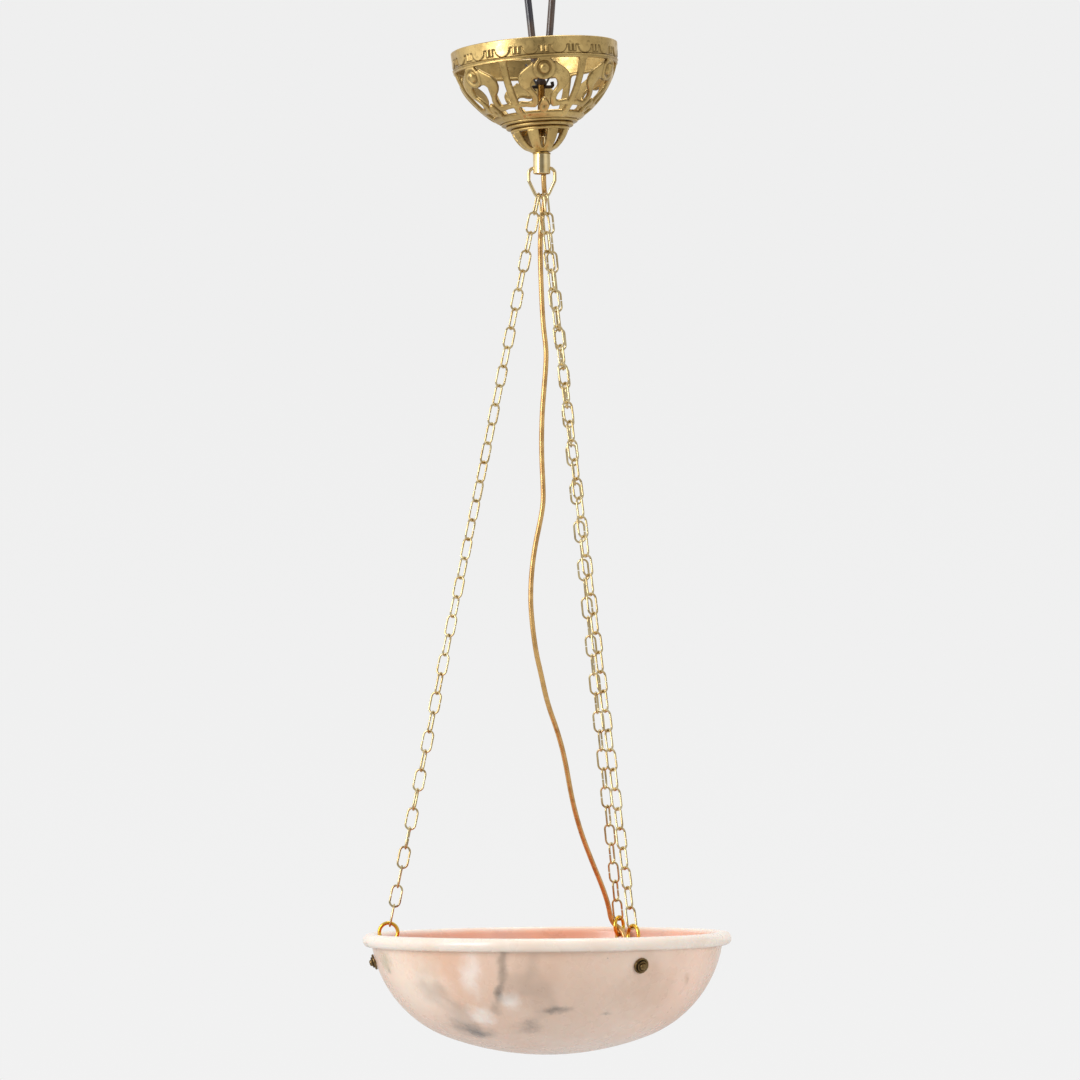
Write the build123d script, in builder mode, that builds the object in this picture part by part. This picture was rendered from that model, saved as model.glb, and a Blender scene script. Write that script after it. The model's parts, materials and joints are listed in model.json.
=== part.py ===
from build123d import *
from math import asin, atan2, cos, degrees, hypot, pi, radians, sin, sqrt, tan
import os

# An alabaster bowl pendant. Millimetres, +Z up. The origin is the point of the hanging
# cord's crown that rests on the hook, and everything hangs below it on the Z axis.
# The front, as one looks at the light, is -Y, and angles round Z are counted from
# the front towards +X.

# ---- hanging cord, eye nut and tube ---------------------------------------------
cord_diameter = 6.3
crown_radius = 12.0  # centre line of the cord over the hook
eye_cord_radius = 5.0  # centre line of the cord where it turns in the eye
eye_centre_z = -99.2
eye_hole_radius = 3.8
eye_wire = 2.8
nut_radius = 4.6
nut_top_z = -104.0
nut_bottom_z = -110.6
tube_diameter = 6.5
tube_bore = 4.6
tube_top_z = -107.0
tube_bottom_z = -174.5
pin_diameter = 3.0
pin_z = -112.2
pin_left = 9.0
pin_right = 10.3
pin_bend_drop = 4.4
pin_bend_in = 3.4
core_diameter = 1.7
core_exit_z = -117.6
core_spread = 13.4
core_tip_z = -91.5

# ---- sleeve and washer ------------------------------------------------------------
sleeve_radius = 7.6
sleeve_top_z = -171.2
sleeve_bottom_z = -188.5
neck_radius = 5.6
neck_top_z = -156.2
sleeve_bore_radius = 6.75
sleeve_bore_top_z = -175.4
pivot_z = -183.7
washer_thickness = 0.8
fit_gap = 0.1  # between round pieces that are pushed together
run_gap = 0.25  # between pieces that move in each other

# ---- canopy: a pierced cup over a small pierced cup -----------------------------------
canopy_lean = 3.8  # degrees, the top leans to -X
seat_gap = 0.6  # under the small cup on the axis, so that it rocks on its rim
canopy_radius = 73.1
canopy_band = 17.2
canopy_depth = 64.9
canopy_wall = 2.8
canopy_low_radius = 34.0
band_taper = 0.9
band_step = 1.5
waist_inset = 12.9  # half way down the belly of the cup, in from its radius
waist_depth = 41.5
flower_sink = 0.184421  # of the flower's base into the wall
rib_width = 6.6
bay_count = 6
bay_turn = 5.5  # degrees from the front to the middle of the first bay
astragal = 1.6
flower_radius = 9.6
flower_depth = 27.4
flower_rise = 1.2
flower_button_radius = 4.6
flower_button_rise = 2.6
foot_radius = 5.0
foot_depth = 57.0
finial_radius = 24.1
finial_height = 17.9
finial_low_radius = 8.0
finial_wall = 2.4
finial_belly = 7.0  # from the top radius to the radius low on its side
finial_floor = 2.6
finial_hole_gap = 0.65
petal_count = 8
slot_width = 7.4
slot_top_gap = 0.8
slot_foot_gap = 2.8
bead_radii = (33.2, 29.2, 25.2)
bead_bulge = 1.2
bead_height = 3.05

# ---- main loop and chains ---------------------------------------------------------
loop_wire = 3.0
loop_half_width = 11.4
loop_shoulder_radius = 4.6
loop_side_radius = 4.0  # at the lower end of its straight sides
loop_side_z = -193.6
loop_low_radius = 7.0
loop_low_z = -209.4
chain_links = 38
link_wire = 1.85
link_width = 10.9
link_gap = 0.1  # between the wires of two links
link_joint = 0.5  # the open butt joint in one side of a link
hang_gap = 0.55 # between the loop and the first links
hang_places = {"left": -3.6, "front": -0.4, "back": 3.4}
hang_turns = {"left": -15.0, "front": -30.0, "back": -22.0}  # degrees, of the first links

# ---- rings, lugs and rosettes ---------------------------------------------------------
fixing_angles = {"left": -88.0, "front": 32.0, "back": 152.0}
ring_diameter = 19.2
ring_wire = 3.2
ring_inset = 22.6  # from the outside of the lip
ring_rise = 1.3  # above the lip
ring_lug_gap = 0.35
lug_thickness = 2.0
lug_width = 9.0
lug_hole_radius = 2.5
lug_tail = 6.5
bolt_height = 82.2  # above the bottom of the bowl
bolt_diameter = 4.0
bolt_hole_gap = 0.4
rosette_radius = 6.75
rosette_height = 3.4
button_radius = 2.9
button_height = 2.4
nut_flats = 7.0
nut_height = 2.8

# ---- alabaster bowl ----------------------------------------------------------------
bowl_bottom_z = -954.5
floor_radius = 248.0  # radius of the outside of the floor in section
side_radius = 102.4
bowl_wall = 6.5
lip_radius = 160.0
lip_overhang = 8.14  # from the side to the outside of the lip
lip_low = 94.0  # above the bottom
lip_height = 11.3
lip_width = 10.6
lip_round = 3.6
inner_round = 1.5

# ---- lampholder on the floor of the bowl ---------------------------------------------
pad_radius = 26.0
pad_edge = 1.5
foot_plate_radius = 24.0
foot_plate_height = 9.0
foot_plate_wall = 1.4
holder_radius = 21.0
holder_height = 28.0
shell_bore_radius = 13.15
shell_wall = 0.45
shell_length = 22.0
contact_radius = 4.0
contact_height = 2.0
grip_radius = 3.6
grip_reach = 30.0

# ---- flex --------------------------------------------------------------------------
flex_diameter = 4.5
flex_place = (1.6, 4.05)  # in the bore of the sleeve, behind the top of the loop
flex_inner_top_z = -179.2
flex_route = [
    (1.6, 4.05, -188.5),
    (1.6, 4.05, -196.5),
    (2.7, 9.2, -209.0),
    (0.4, 9.7, -223.0),
    (-1.5, 8.3, -238.0),
    (-1.9, 6.4, -257.0),
    (-1.2, 4.6, -287.0),
    (0.1, 3.0, -319.5),
    (2.9, 2.0, -342.0),
    (2.4, 1.2, -357.0),
    (0.7, 0.6, -376.0),
    (-1.4, 0.2, -401.0),
    (-2.0, 0.0, -433.0),
    (-0.5, -0.2, -466.0),
    (-0.9, -0.2, -478.0),
    (-3.4, 0.0, -492.0),
    (-7.5, 0.3, -510.5),
    (-10.3, 0.4, -528.0),
    (-12.1, 0.2, -548.0),
    (-12.2, 0.3, -570.0),
    (-8.4, 2.0, -604.0),
    (-3.6, 5.5, -625.0),
    (1.6, 10.0, -650.0),
    (11.2, 24.0, -677.0),
    (17.0, 35.5, -700.0),
    (23.0, 47.5, -736.0),
    (30.6, 63.0, -764.0),
    (40.4, 82.0, -790.0),
]
flex_at_ring = [  # from the middle of the back ring
    (-15.5, -21.8, 36.9),
    (-9.5, -7.8, 18.9),
    (-7.0, -0.8, 3.0),
    (3.8, -4.7, -4.5),
    (6.0, -7.8, -18.1),
    (4.0, -15.3, -36.1),
    (-3.5, -28.3, -55.1),
    (-16.5, -49.3, -72.1),
]
flex_at_grip = [(64.76, 8.1), (44.0, 0.0)]  # reach from the axis, height above the bush
grip_angle = 145.3

cord_rule = 0.45  # an arc takes this share of the shorter run at its corner


def unit(vector):
    return vector / vector.length


def corner_radii(points):
    """The largest tangent arcs that the runs at each corner allow."""
    radii = []
    for before, here, after in zip(points, points[1:], points[2:]):
        run_in = Vector(*here) - Vector(*before)
        run_out = Vector(*after) - Vector(*here)
        half_turn = radians(run_in.get_angle(run_out)) / 2
        shorter = min(run_in.length, run_out.length)
        radii.append(cord_rule * shorter / tan(half_turn))
    return radii


def rod(points, diameter, radii):
    """A round wire or cord along a route of straight runs and tangent arcs."""
    with BuildPart() as wire:
        with BuildLine() as path:
            FilletPolyline(*points, radius=radii)
        with BuildSketch(Plane(origin=path.line @ 0, z_dir=path.line % 0)):
            Circle(diameter / 2)
        sweep(path=path.line)
    return wire.part


def hull_ring(circles, diameter, plane=Plane.XZ):
    """A closed wire round a few discs in a plane: ((x, y, radius), ...)."""
    with BuildPart() as wire:
        with BuildSketch(plane, mode=Mode.PRIVATE) as discs:
            for x, y, radius in circles:
                with Locations((x, y)):
                    Circle(radius)
            make_hull()
        for edge in discs.sketch.face().outer_wire().edges():
            with BuildSketch(Plane(origin=edge @ 0, z_dir=edge % 0)):
                Circle(diameter / 2)
            sweep(path=edge)
    return wire.part


def write(part, name):
    part.label = name
    export_step(part, f"parts/{name}.step")


def radial_plane(angle, reach=0.0, height=0.0):
    """A plane through the Z axis: its x runs outwards at the angle, its y runs up."""
    out = Vector(sin(radians(angle)), -cos(radians(angle)), 0)
    return Plane(
        origin=out * reach + Vector(0, 0, height), x_dir=out, z_dir=out.cross(Vector(0, 0, 1))
    )


def outward_plane(angle, reach, height):
    """An upright plane that faces outwards: its x runs sideways, its y up."""
    face = radial_plane(angle, reach, height)
    return Plane(origin=face.origin, x_dir=-face.z_dir, z_dir=face.x_dir)


# ---- the section of the bowl: an arc for the floor, and one for the side --------------
lip_bottom_z = bowl_bottom_z + lip_low
lip_top_z = lip_bottom_z + lip_height
neck_reach = lip_radius - lip_overhang
neck_fall = floor_radius - lip_low
neck_far = hypot(neck_reach, neck_fall)
centres_apart = floor_radius - side_radius
turn_sine = (neck_far**2 + centres_apart**2 - side_radius**2) / (2 * centres_apart * neck_far)
floor_turn = asin(turn_sine) - atan2(neck_fall, neck_reach)
floor_centre = (0.0, bowl_bottom_z + floor_radius)
side_centre = (
    centres_apart * sin(floor_turn),
    floor_centre[1] - centres_apart * cos(floor_turn),
)


def floor_height(reach):
    """Height of the inside of the floor at a distance from the axis."""
    return floor_centre[1] - sqrt((floor_radius - bowl_wall) ** 2 - reach**2)


def side_reach(height, wall=0.0):
    """Distance of the side from the axis at a height, outside or a wall further in."""
    return side_centre[0] + sqrt((side_radius - wall) ** 2 - (height - side_centre[1]) ** 2)


def floor_point(radius, turn):
    return (radius * sin(turn), floor_centre[1] - radius * cos(turn))


def make_bowl():
    lip_inner_radius = lip_radius - lip_width
    inner = floor_radius - bowl_wall
    turn_out = floor_point(floor_radius, floor_turn)
    turn_in = floor_point(inner, floor_turn)
    middle_out = (turn_out[1] + lip_bottom_z) / 2
    inner_top_z = lip_top_z - lip_round
    inner_top = (side_reach(inner_top_z, bowl_wall), inner_top_z)
    middle_in = (turn_in[1] + inner_top_z) / 2
    with BuildPart() as bowl:
        with BuildSketch(Plane.XZ):
            with BuildLine():
                ThreePointArc(
                    floor_point(floor_radius, 0),
                    floor_point(floor_radius, floor_turn / 2),
                    turn_out,
                )
                ThreePointArc(
                    turn_out, (side_reach(middle_out), middle_out), (neck_reach, lip_bottom_z)
                )
                Polyline(
                    (neck_reach, lip_bottom_z),
                    (lip_radius, lip_bottom_z),
                    (lip_radius, lip_top_z),
                    (lip_inner_radius, lip_top_z),
                    inner_top,
                )
                ThreePointArc(inner_top, (side_reach(middle_in, bowl_wall), middle_in), turn_in)
                ThreePointArc(turn_in, floor_point(inner, floor_turn / 2), floor_point(inner, 0))
                Line(floor_point(inner, 0), floor_point(floor_radius, 0))
            make_face()
        revolve(axis=Axis.Z)
        rims = bowl.edges().filter_by(GeomType.CIRCLE)
        fillet(rims.filter_by(lambda e: abs(e.radius - lip_radius) < 0.01), lip_round)
        inner_rim = bowl.edges().filter_by(GeomType.CIRCLE)
        fillet(
            inner_rim.filter_by(lambda e: abs(e.radius - lip_inner_radius) < 0.01), inner_round
        )
        for angle in fixing_angles.values():
            with Locations(Location(bolt_plane(angle))):
                Cylinder(
                    bolt_diameter / 2 + bolt_hole_gap, 4 * bowl_wall, mode=Mode.SUBTRACT
                )
    return bowl.part


# ---- a fixing: where its bolt goes through the wall ------------------------------------
bolt_z = bowl_bottom_z + bolt_height
bolt_fall = asin((side_centre[1] - bolt_z) / (side_radius - bowl_wall / 2))


def bolt_plane(angle, out=0.0):
    """A plane on the axis of a bolt, at the middle of the wall or further out."""
    face = radial_plane(angle)
    middle = side_radius - bowl_wall / 2 + out
    centre = face.from_local_coords(
        (side_centre[0] + middle * cos(bolt_fall), side_centre[1] - middle * sin(bolt_fall))
    )
    along = face.from_local_coords(Vector(cos(bolt_fall), -sin(bolt_fall), 0)) - face.origin
    return Plane(origin=centre, x_dir=face.z_dir, z_dir=along)


loop_low_centre_z = loop_low_z + loop_low_radius


def hang_point(side):
    """Centre of the loop's wire where a chain hangs on it."""
    x = hang_places[side]
    return Vector(x, 0, loop_low_centre_z - sqrt(loop_low_radius**2 - x**2))


ring_reach = lip_radius - ring_inset
ring_z = lip_top_z + ring_rise


def ring_centre(side):
    return radial_plane(fixing_angles[side], ring_reach, ring_z).origin


ring_radius = (ring_diameter - ring_wire) / 2


def chain_pull(side):
    """The straight line of a chain, from the loop to its ring."""
    return unit(ring_centre(side) - hang_point(side))


def chain_pitch(side):
    length = (ring_centre(side) - hang_point(side)).length - ring_radius
    grips = (loop_wire + ring_wire) / 2 + hang_gap + link_gap
    return (length + grips - link_gap) / chain_links


link_inner_length = max(chain_pitch(side) for side in hang_places) + link_gap


def make_link():
    """One link in its own frame, long side along X and flat in XY, with its butt joint."""
    bend = (link_width - link_wire) / 2
    half = (link_inner_length + link_wire) / 2 - bend
    shoulder = (half + bend * tan(radians(15)), bend)
    tip = (half + bend, bend * tan(radians(30)))
    right = [shoulder, tip, (tip[0], -tip[1]), (shoulder[0], -shoulder[1])]
    left = [(-x, -y) for x, y in right]
    start = (-link_joint / 2, bend)
    finish = (link_joint / 2, bend)
    with BuildPart() as link:
        with BuildLine() as path:
            Polyline(finish, *right, *left, start)
        with BuildSketch(Plane(origin=path.line @ 0, x_dir=(0, 0, 1), z_dir=path.line % 0)):
            RegularPolygon(link_wire / 2, 6)
        sweep(path=path.line, transition=Transition.RIGHT)
    return link.part


def chain_places(side):
    """A plane for each link of a chain: its x runs up the chain, its y across the link."""
    pull = chain_pull(side)
    top = -(loop_wire / 2 + link_wire / 2 + hang_gap)
    first = top + (link_inner_length + link_wire) / 2
    across_loop = unit(Vector(0, 1, 0) - pull * pull.Y)
    across_ring = radial_plane(fixing_angles[side]).z_dir
    turn = degrees(
        atan2(pull.dot(across_loop.cross(across_ring)), across_loop.dot(across_ring))
    )
    turn -= hang_turns[side]
    quarter_turns = 90 * (chain_links - 1)
    rest = (turn - quarter_turns + 90) % 180 - 90
    planes = []
    for number in range(chain_links):
        spin = radians(hang_turns[side] + number * (90 + rest / (chain_links - 1)))
        across = across_loop * cos(spin) + pull.cross(across_loop) * sin(spin)
        centre = hang_point(side) + pull * (first + number * chain_pitch(side))
        planes.append(Plane(origin=centre, x_dir=-pull, z_dir=(-pull).cross(across)))
    return planes


def make_chain(side):
    link = make_link()
    links = [link.moved(Location(plane)) for plane in chain_places(side)]
    return Compound(children=links)


def make_ring(side):
    face = radial_plane(fixing_angles[side], ring_reach, ring_z)
    with BuildPart() as ring:
        with Locations(Location(face)):
            Torus(ring_radius, ring_wire / 2)
    return ring.part


def eye_place(side):
    """Reach and height of the lug's hole, where the ring pulls on its upper edge."""
    pull = chain_pull(side)
    fall = hypot(pull.X, pull.Y)
    slack = lug_hole_radius - ring_wire / 2 - ring_lug_gap
    return (ring_reach + ring_radius * fall, ring_z + ring_radius * pull.Z - slack)


def make_lug(side):
    """A bent strap: its foot lies on the inside of the wall, its ear stands in the ring."""
    angle = fixing_angles[side]
    face = radial_plane(angle)
    eye_reach, eye_z = eye_place(side)
    lift = side_radius - bowl_wall - lug_thickness / 2 - 0.5
    foot = (side_centre[0] + lift * cos(bolt_fall), side_centre[1] - lift * sin(bolt_fall))

    def along_wall(distance):
        return (foot[0] + distance * sin(bolt_fall), foot[1] + distance * cos(bolt_fall))

    tail = along_wall(-lug_tail)
    knee = along_wall(lug_tail * 0.72)
    ear_low = (eye_reach, eye_z - lug_width / 2 + 0.2)
    ear_top = (eye_reach, eye_z + lug_width / 2)
    with BuildPart() as lug:
        with BuildLine(face) as path:
            FilletPolyline(tail, knee, ear_low, ear_top, radius=1.6)
        start = Plane(origin=path.line @ 0, x_dir=face.z_dir, z_dir=path.line % 0)
        with BuildSketch(start):
            Rectangle(lug_width, lug_thickness)
        sweep(path=path.line)
        eye = outward_plane(angle, eye_reach, eye_z)
        round_length = ear_top[1] - tail[1] - lug_width
        with BuildSketch(eye):
            with Locations((0, -round_length / 2)):
                SlotCenterToCenter(round_length, lug_width, rotation=90)
        extrude(amount=2 * lug_width, both=True, mode=Mode.INTERSECT)
        with BuildSketch(eye):
            Circle(lug_hole_radius)
        extrude(amount=2 * lug_thickness, both=True, mode=Mode.SUBTRACT)
        with Locations(Location(bolt_plane(angle, -bowl_wall / 2))):
            Cylinder(bolt_diameter / 2 + fit_gap, 4 * lug_thickness, mode=Mode.SUBTRACT)
    return lug.part


rosette_back = bowl_wall / 2 + 0.05
nut_back = -bowl_wall / 2 - 0.5 - lug_thickness


def make_rosette(side):
    with BuildPart() as rosette:
        plane = bolt_plane(fixing_angles[side], rosette_back)
        section = Plane(origin=plane.origin, x_dir=plane.x_dir, z_dir=-plane.y_dir)
        bore = bolt_diameter / 2 + fit_gap
        with BuildSketch(section):
            with BuildLine():
                Line((bore, 0), (rosette_radius, 0))
                Line((rosette_radius, 0), (rosette_radius, 0.8))
                ThreePointArc((rosette_radius, 0.8), (5.9, 1.9), (5.1, 1.2))
                ThreePointArc((5.1, 1.2), (4.5, 1.7), (4.4, 2.4))
                ThreePointArc((4.4, 2.4), (3.9, rosette_height), (3.2, rosette_height - 0.4))
                Line((3.2, rosette_height - 0.4), (bore, rosette_height - 0.4))
                Line((bore, rosette_height - 0.4), (bore, 0))
            make_face()
        revolve(axis=Axis(plane.origin, plane.z_dir))
    return rosette.part


def make_bolt(side):
    """A round-headed bolt through rosette, wall and lug."""
    plane = bolt_plane(fixing_angles[side], rosette_back + rosette_height - 0.4)
    length = rosette_back + rosette_height - 0.4 - nut_back + nut_height + 1.2
    with BuildPart() as bolt:
        with BuildSketch(plane):
            Circle(button_radius)
        extrude(amount=button_height)
        rim = bolt.edges().filter_by(GeomType.CIRCLE).sort_by(Axis(plane.origin, plane.z_dir))[-1]
        fillet(rim, button_height - 0.5)
        with BuildSketch(plane):
            Circle(bolt_diameter / 2)
        extrude(amount=-length)
    return bolt.part


def make_nut(side):
    with BuildPart() as nut:
        with BuildSketch(bolt_plane(fixing_angles[side], nut_back)):
            RegularPolygon(nut_flats / 2, 6, major_radius=False)
            Circle(bolt_diameter / 2 + fit_gap / 2, mode=Mode.SUBTRACT)
        extrude(amount=-nut_height)
    return nut.part


# ---- suspension ---------------------------------------------------------------------
def make_hanging_cord():
    crown_z = cord_diameter / 2 - crown_radius
    turn_z = eye_centre_z + eye_hole_radius - fit_gap - cord_diameter / 2 + eye_cord_radius
    return hull_ring([(0, crown_z, crown_radius), (0, turn_z, eye_cord_radius)], cord_diameter)


def make_eye_nut():
    ring = eye_hole_radius + eye_wire / 2
    with BuildPart() as nut:
        with BuildSketch(Plane.XZ):
            with BuildLine():
                Polyline(
                    (0, nut_top_z),
                    (2.6, nut_top_z),
                    (3.4, nut_top_z - 1.6),
                )
                ThreePointArc(
                    (3.4, nut_top_z - 1.6),
                    (nut_radius - 0.25, nut_top_z - 3.2),
                    (nut_radius, nut_bottom_z + 1.2),
                )
                Polyline(
                    (nut_radius, nut_bottom_z + 1.2),
                    (nut_radius, nut_bottom_z),
                    (tube_diameter / 2 + fit_gap, nut_bottom_z),
                    (tube_diameter / 2 + fit_gap, tube_top_z + fit_gap),
                    (0, tube_top_z + fit_gap),
                    (0, nut_top_z),
                )
            make_face()
        revolve(axis=Axis.Z)
        with Locations(Location(Plane(origin=(0, 0, eye_centre_z), z_dir=(1, 0, 0)))):
            Torus(ring, eye_wire / 2)
    return nut.part


def make_cross_pin():
    route = [
        (-pin_left + pin_bend_in, 0, pin_z - pin_bend_drop),
        (-pin_left, 0, pin_z),
        (pin_right, 0, pin_z),
        (pin_right - 0.8, 0, pin_z + pin_bend_drop),
    ]
    return rod(route, pin_diameter, [1.4, 1.6])


def make_tube():
    with BuildPart() as tube:
        with BuildSketch(Plane.XY.offset(tube_bottom_z)):
            Circle(tube_diameter / 2)
            Circle(tube_bore / 2, mode=Mode.SUBTRACT)
        extrude(amount=tube_top_z - tube_bottom_z)
        with BuildSketch(Plane.YZ):
            with Locations((0, pin_z)):
                Circle(pin_diameter / 2 + fit_gap)
        extrude(amount=tube_diameter, both=True, mode=Mode.SUBTRACT)
        with BuildSketch(Plane.XZ):
            with Locations((0, core_exit_z)):
                Circle(core_diameter + 0.3)
        extrude(amount=-tube_diameter, mode=Mode.SUBTRACT)
    return tube.part


def make_core(hand):
    """One core of the flex: up the tube, out at its side hole and up inside the canopy."""
    inner = core_diameter / 2 + 0.08
    x, y = flex_place
    route = [
        (x + hand * inner, y, flex_inner_top_z + 0.75),
        (hand * inner, 0, tube_bottom_z - 0.3),
        (hand * inner, 0, core_exit_z),
        (hand * inner, 7.4, core_exit_z),
        (hand * 5.6, 8.4, core_exit_z + 12),
        (hand * core_spread, 6.0, core_tip_z),
    ]
    return rod(route, core_diameter, [4.6, 1.9, 2.6, 14.0])


def make_sleeve():
    with BuildPart() as sleeve:
        with BuildSketch(Plane.XY.offset(sleeve_bottom_z)):
            Circle(sleeve_radius)
        extrude(amount=sleeve_top_z - sleeve_bottom_z)
        with BuildSketch(Plane.XY.offset(sleeve_top_z)):
            Circle(neck_radius)
        extrude(amount=neck_top_z - sleeve_top_z)
        chamfer(sleeve.faces().sort_by(Axis.Z)[-1].edges(), 0.6)
        chamfer(sleeve.faces().sort_by(Axis.Z)[0].edges(), 0.3)
        with BuildSketch(Plane.XY.offset(sleeve_bottom_z)):
            Circle(sleeve_bore_radius)
        extrude(amount=sleeve_bore_top_z - sleeve_bottom_z, mode=Mode.SUBTRACT)
        with BuildSketch(Plane.XY.offset(sleeve_bottom_z)):
            Circle(tube_diameter / 2 + fit_gap)
        extrude(amount=neck_top_z - sleeve_bottom_z, mode=Mode.SUBTRACT)
        with BuildSketch(Plane.YZ.offset(-2 * sleeve_radius)):
            with Locations((0, pivot_z)):
                Circle(loop_wire / 2 + run_gap)
        extrude(amount=4 * sleeve_radius, mode=Mode.SUBTRACT)
    return sleeve.part


def make_washer():
    with BuildPart() as washer:
        with BuildSketch(Plane.XY.offset(sleeve_top_z + 0.02)):
            Circle(sleeve_radius + 0.3)
            Circle(neck_radius + run_gap, mode=Mode.SUBTRACT)
        extrude(amount=washer_thickness)
    return washer.part


def make_loop():
    top = loop_half_width - loop_shoulder_radius
    side = loop_half_width - loop_side_radius
    shoulder_z = pivot_z - loop_shoulder_radius
    discs = [
        (-top, shoulder_z, loop_shoulder_radius),
        (top, shoulder_z, loop_shoulder_radius),
        (-side, loop_side_z, loop_side_radius),
        (side, loop_side_z, loop_side_radius),
        (0, loop_low_centre_z, loop_low_radius),
    ]
    return hull_ring(discs, loop_wire)


# ---- canopy -------------------------------------------------------------------------
rock_z = sleeve_top_z + 0.02 + washer_thickness + seat_gap
finial_top_z = rock_z + finial_height
bead_top_z = finial_top_z + bead_height * 3
rim_z = bead_top_z + canopy_depth
rock_axis = Axis((0, 0, rock_z), (0, 1, 0))


def cup_arc(inset):
    """Three points of the cup's section below its band, outside or a wall further in."""
    return (
        (canopy_radius - band_taper - band_step - inset, rim_z - canopy_band),
        (canopy_radius - waist_inset - 0.82 * inset, rim_z - waist_depth + 0.57 * inset),
        (canopy_low_radius - 0.3 * inset, rim_z - canopy_depth + inset),
    )


def cup_shell():
    """The cup without its windows: a plain band over a bellied wall."""
    outside = cup_arc(0)
    inside = cup_arc(canopy_wall)
    with BuildPart() as shell:
        with BuildSketch(Plane.XZ):
            with BuildLine():
                band_low = (canopy_radius - band_taper, rim_z - canopy_band)
                Line((canopy_radius, rim_z), band_low)
                Line(band_low, outside[0])
                ThreePointArc(*outside)
                Line(outside[2], (inside[2][0], outside[2][1]))
                Line((inside[2][0], outside[2][1]), inside[2])
                ThreePointArc(*reversed(inside))
                Line(inside[0], (canopy_radius - canopy_wall, rim_z))
                Line((canopy_radius - canopy_wall, rim_z), (canopy_radius, rim_z))
            make_face()
        revolve(axis=Axis.Z)
    return shell.part


leaf_outline = [
    (-7.0, -20.0),
    (-17.0, -23.5),
    (-22.6, -31.0),
    (-20.2, -38.5),
    (-20.6, -44.0),
    (-17.4, -48.6),
    (-12.4, -47.8),
    (-8.4, -52.0),
    (-6.2, -57.4),
    (-9.6, -60.2),
    (-16.4, -58.6),
    (-17.6, -61.6),
    (-8.0, -66.0),
    (0.0, -66.0),
    (0.0, -55.0),
    (-4.6, -48.8),
    (-9.6, -42.6),
    (-7.6, -38.6),
    (-5.0, -35.6),
]


def bay_pattern(angle):
    """The flower, two leaves and foot of one bay, seen from outside."""
    with BuildSketch(outward_plane(angle, 20, rim_z)) as bay:
        for hand in (1, -1):
            with BuildLine():
                Polyline(*[(hand * x, y) for x, y in leaf_outline], close=True)
            make_face()
        with Locations((0, -flower_depth)):
            Circle(flower_radius)
        with Locations((0, -foot_depth)):
            Circle(foot_radius)
    return bay.sketch


def wall_reach(depth):
    """The cup's outside radius at a depth below the rim."""
    (top_x, top_z), (mid_x, mid_z), (low_x, low_z) = cup_arc(0)
    mid_x, mid_z, low_x, low_z = mid_x - top_x, mid_z - top_z, low_x - top_x, low_z - top_z
    twice = 2 * (mid_x * low_z - mid_z * low_x)
    middle, lowest = mid_x**2 + mid_z**2, low_x**2 + low_z**2
    centre_x = (low_z * middle - mid_z * lowest) / twice
    centre_z = (mid_x * lowest - low_x * middle) / twice
    height = rim_z - depth - top_z - centre_z
    return top_x + centre_x + sqrt(centre_x**2 + centre_z**2 - height**2)


def wall_plane(angle, depth, reach):
    """A plane square to the cup's wall at a depth below the rim."""
    top, middle, low = (Vector(x, y, 0) for x, y in cup_arc(0))
    nearby = top if rim_z - depth > middle.Y else low
    slope = unit(middle - nearby) if nearby is low else unit(nearby - middle)
    face = radial_plane(angle)
    normal = face.x_dir * slope.Y - Vector(0, 0, 1) * slope.X
    origin = face.x_dir * reach + Vector(0, 0, rim_z - depth)
    return Plane(origin=origin, x_dir=face.z_dir, z_dir=normal)


def make_canopy_cup():
    """Ribs, flowers and leaves are cut out of the cup's wall, between its band and foot ring."""
    foot_ring = 3.0
    bays = [bay_turn + 360 / bay_count * number for number in range(bay_count)]
    with BuildPart() as cup:
        with BuildSketch(Plane.XY.offset(rim_z - canopy_depth)):
            with PolarLocations(0, bay_count // 2, start_angle=bay_turn - 60):
                Rectangle(2.2 * canopy_radius, rib_width)
        extrude(amount=canopy_depth)
        for angle in bays:
            extrude(bay_pattern(angle), amount=canopy_radius)
        for low, high in (
            (rim_z - canopy_band - astragal, rim_z),
            (rim_z - canopy_depth, rim_z - canopy_depth + foot_ring),
        ):
            with BuildSketch(Plane.XY.offset(low)):
                Circle(1.1 * canopy_radius)
            extrude(amount=high - low)
        add(cup_shell(), mode=Mode.INTERSECT)
        for angle in bays:
            flower = wall_plane(angle, flower_depth, wall_reach(flower_depth) - flower_sink)
            for radius, rise in (
                (flower_radius, flower_rise),
                (flower_button_radius, flower_button_rise),
            ):
                with BuildSketch(flower):
                    Circle(radius)
                extrude(amount=rise + flower_rise, taper=12)
        with BuildSketch(Plane.XZ):
            with BuildLine():
                inner = finial_radius - finial_wall
                Line((inner, finial_top_z), (inner, bead_top_z + 1.2))
                Line((inner, bead_top_z + 1.2), (canopy_low_radius - 0.6, bead_top_z + 1.2))
                Line(
                    (canopy_low_radius - 0.6, bead_top_z + 1.2),
                    (bead_radii[0] - bead_bulge, bead_top_z),
                )
                for number, radius in enumerate(bead_radii):
                    high = bead_top_z - number * bead_height
                    low = high - bead_height
                    start = (radius - bead_bulge, high)
                    end = (radius - bead_bulge, low)
                    ThreePointArc(start, (radius, (low + high) / 2), end)
                    inward = (bead_radii + (inner + bead_bulge,))[number + 1] - bead_bulge
                    Line(end, (inward, low))
            make_face()
        revolve(axis=Axis.Z)
    return cup.part.rotate(rock_axis, -canopy_lean)


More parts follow.
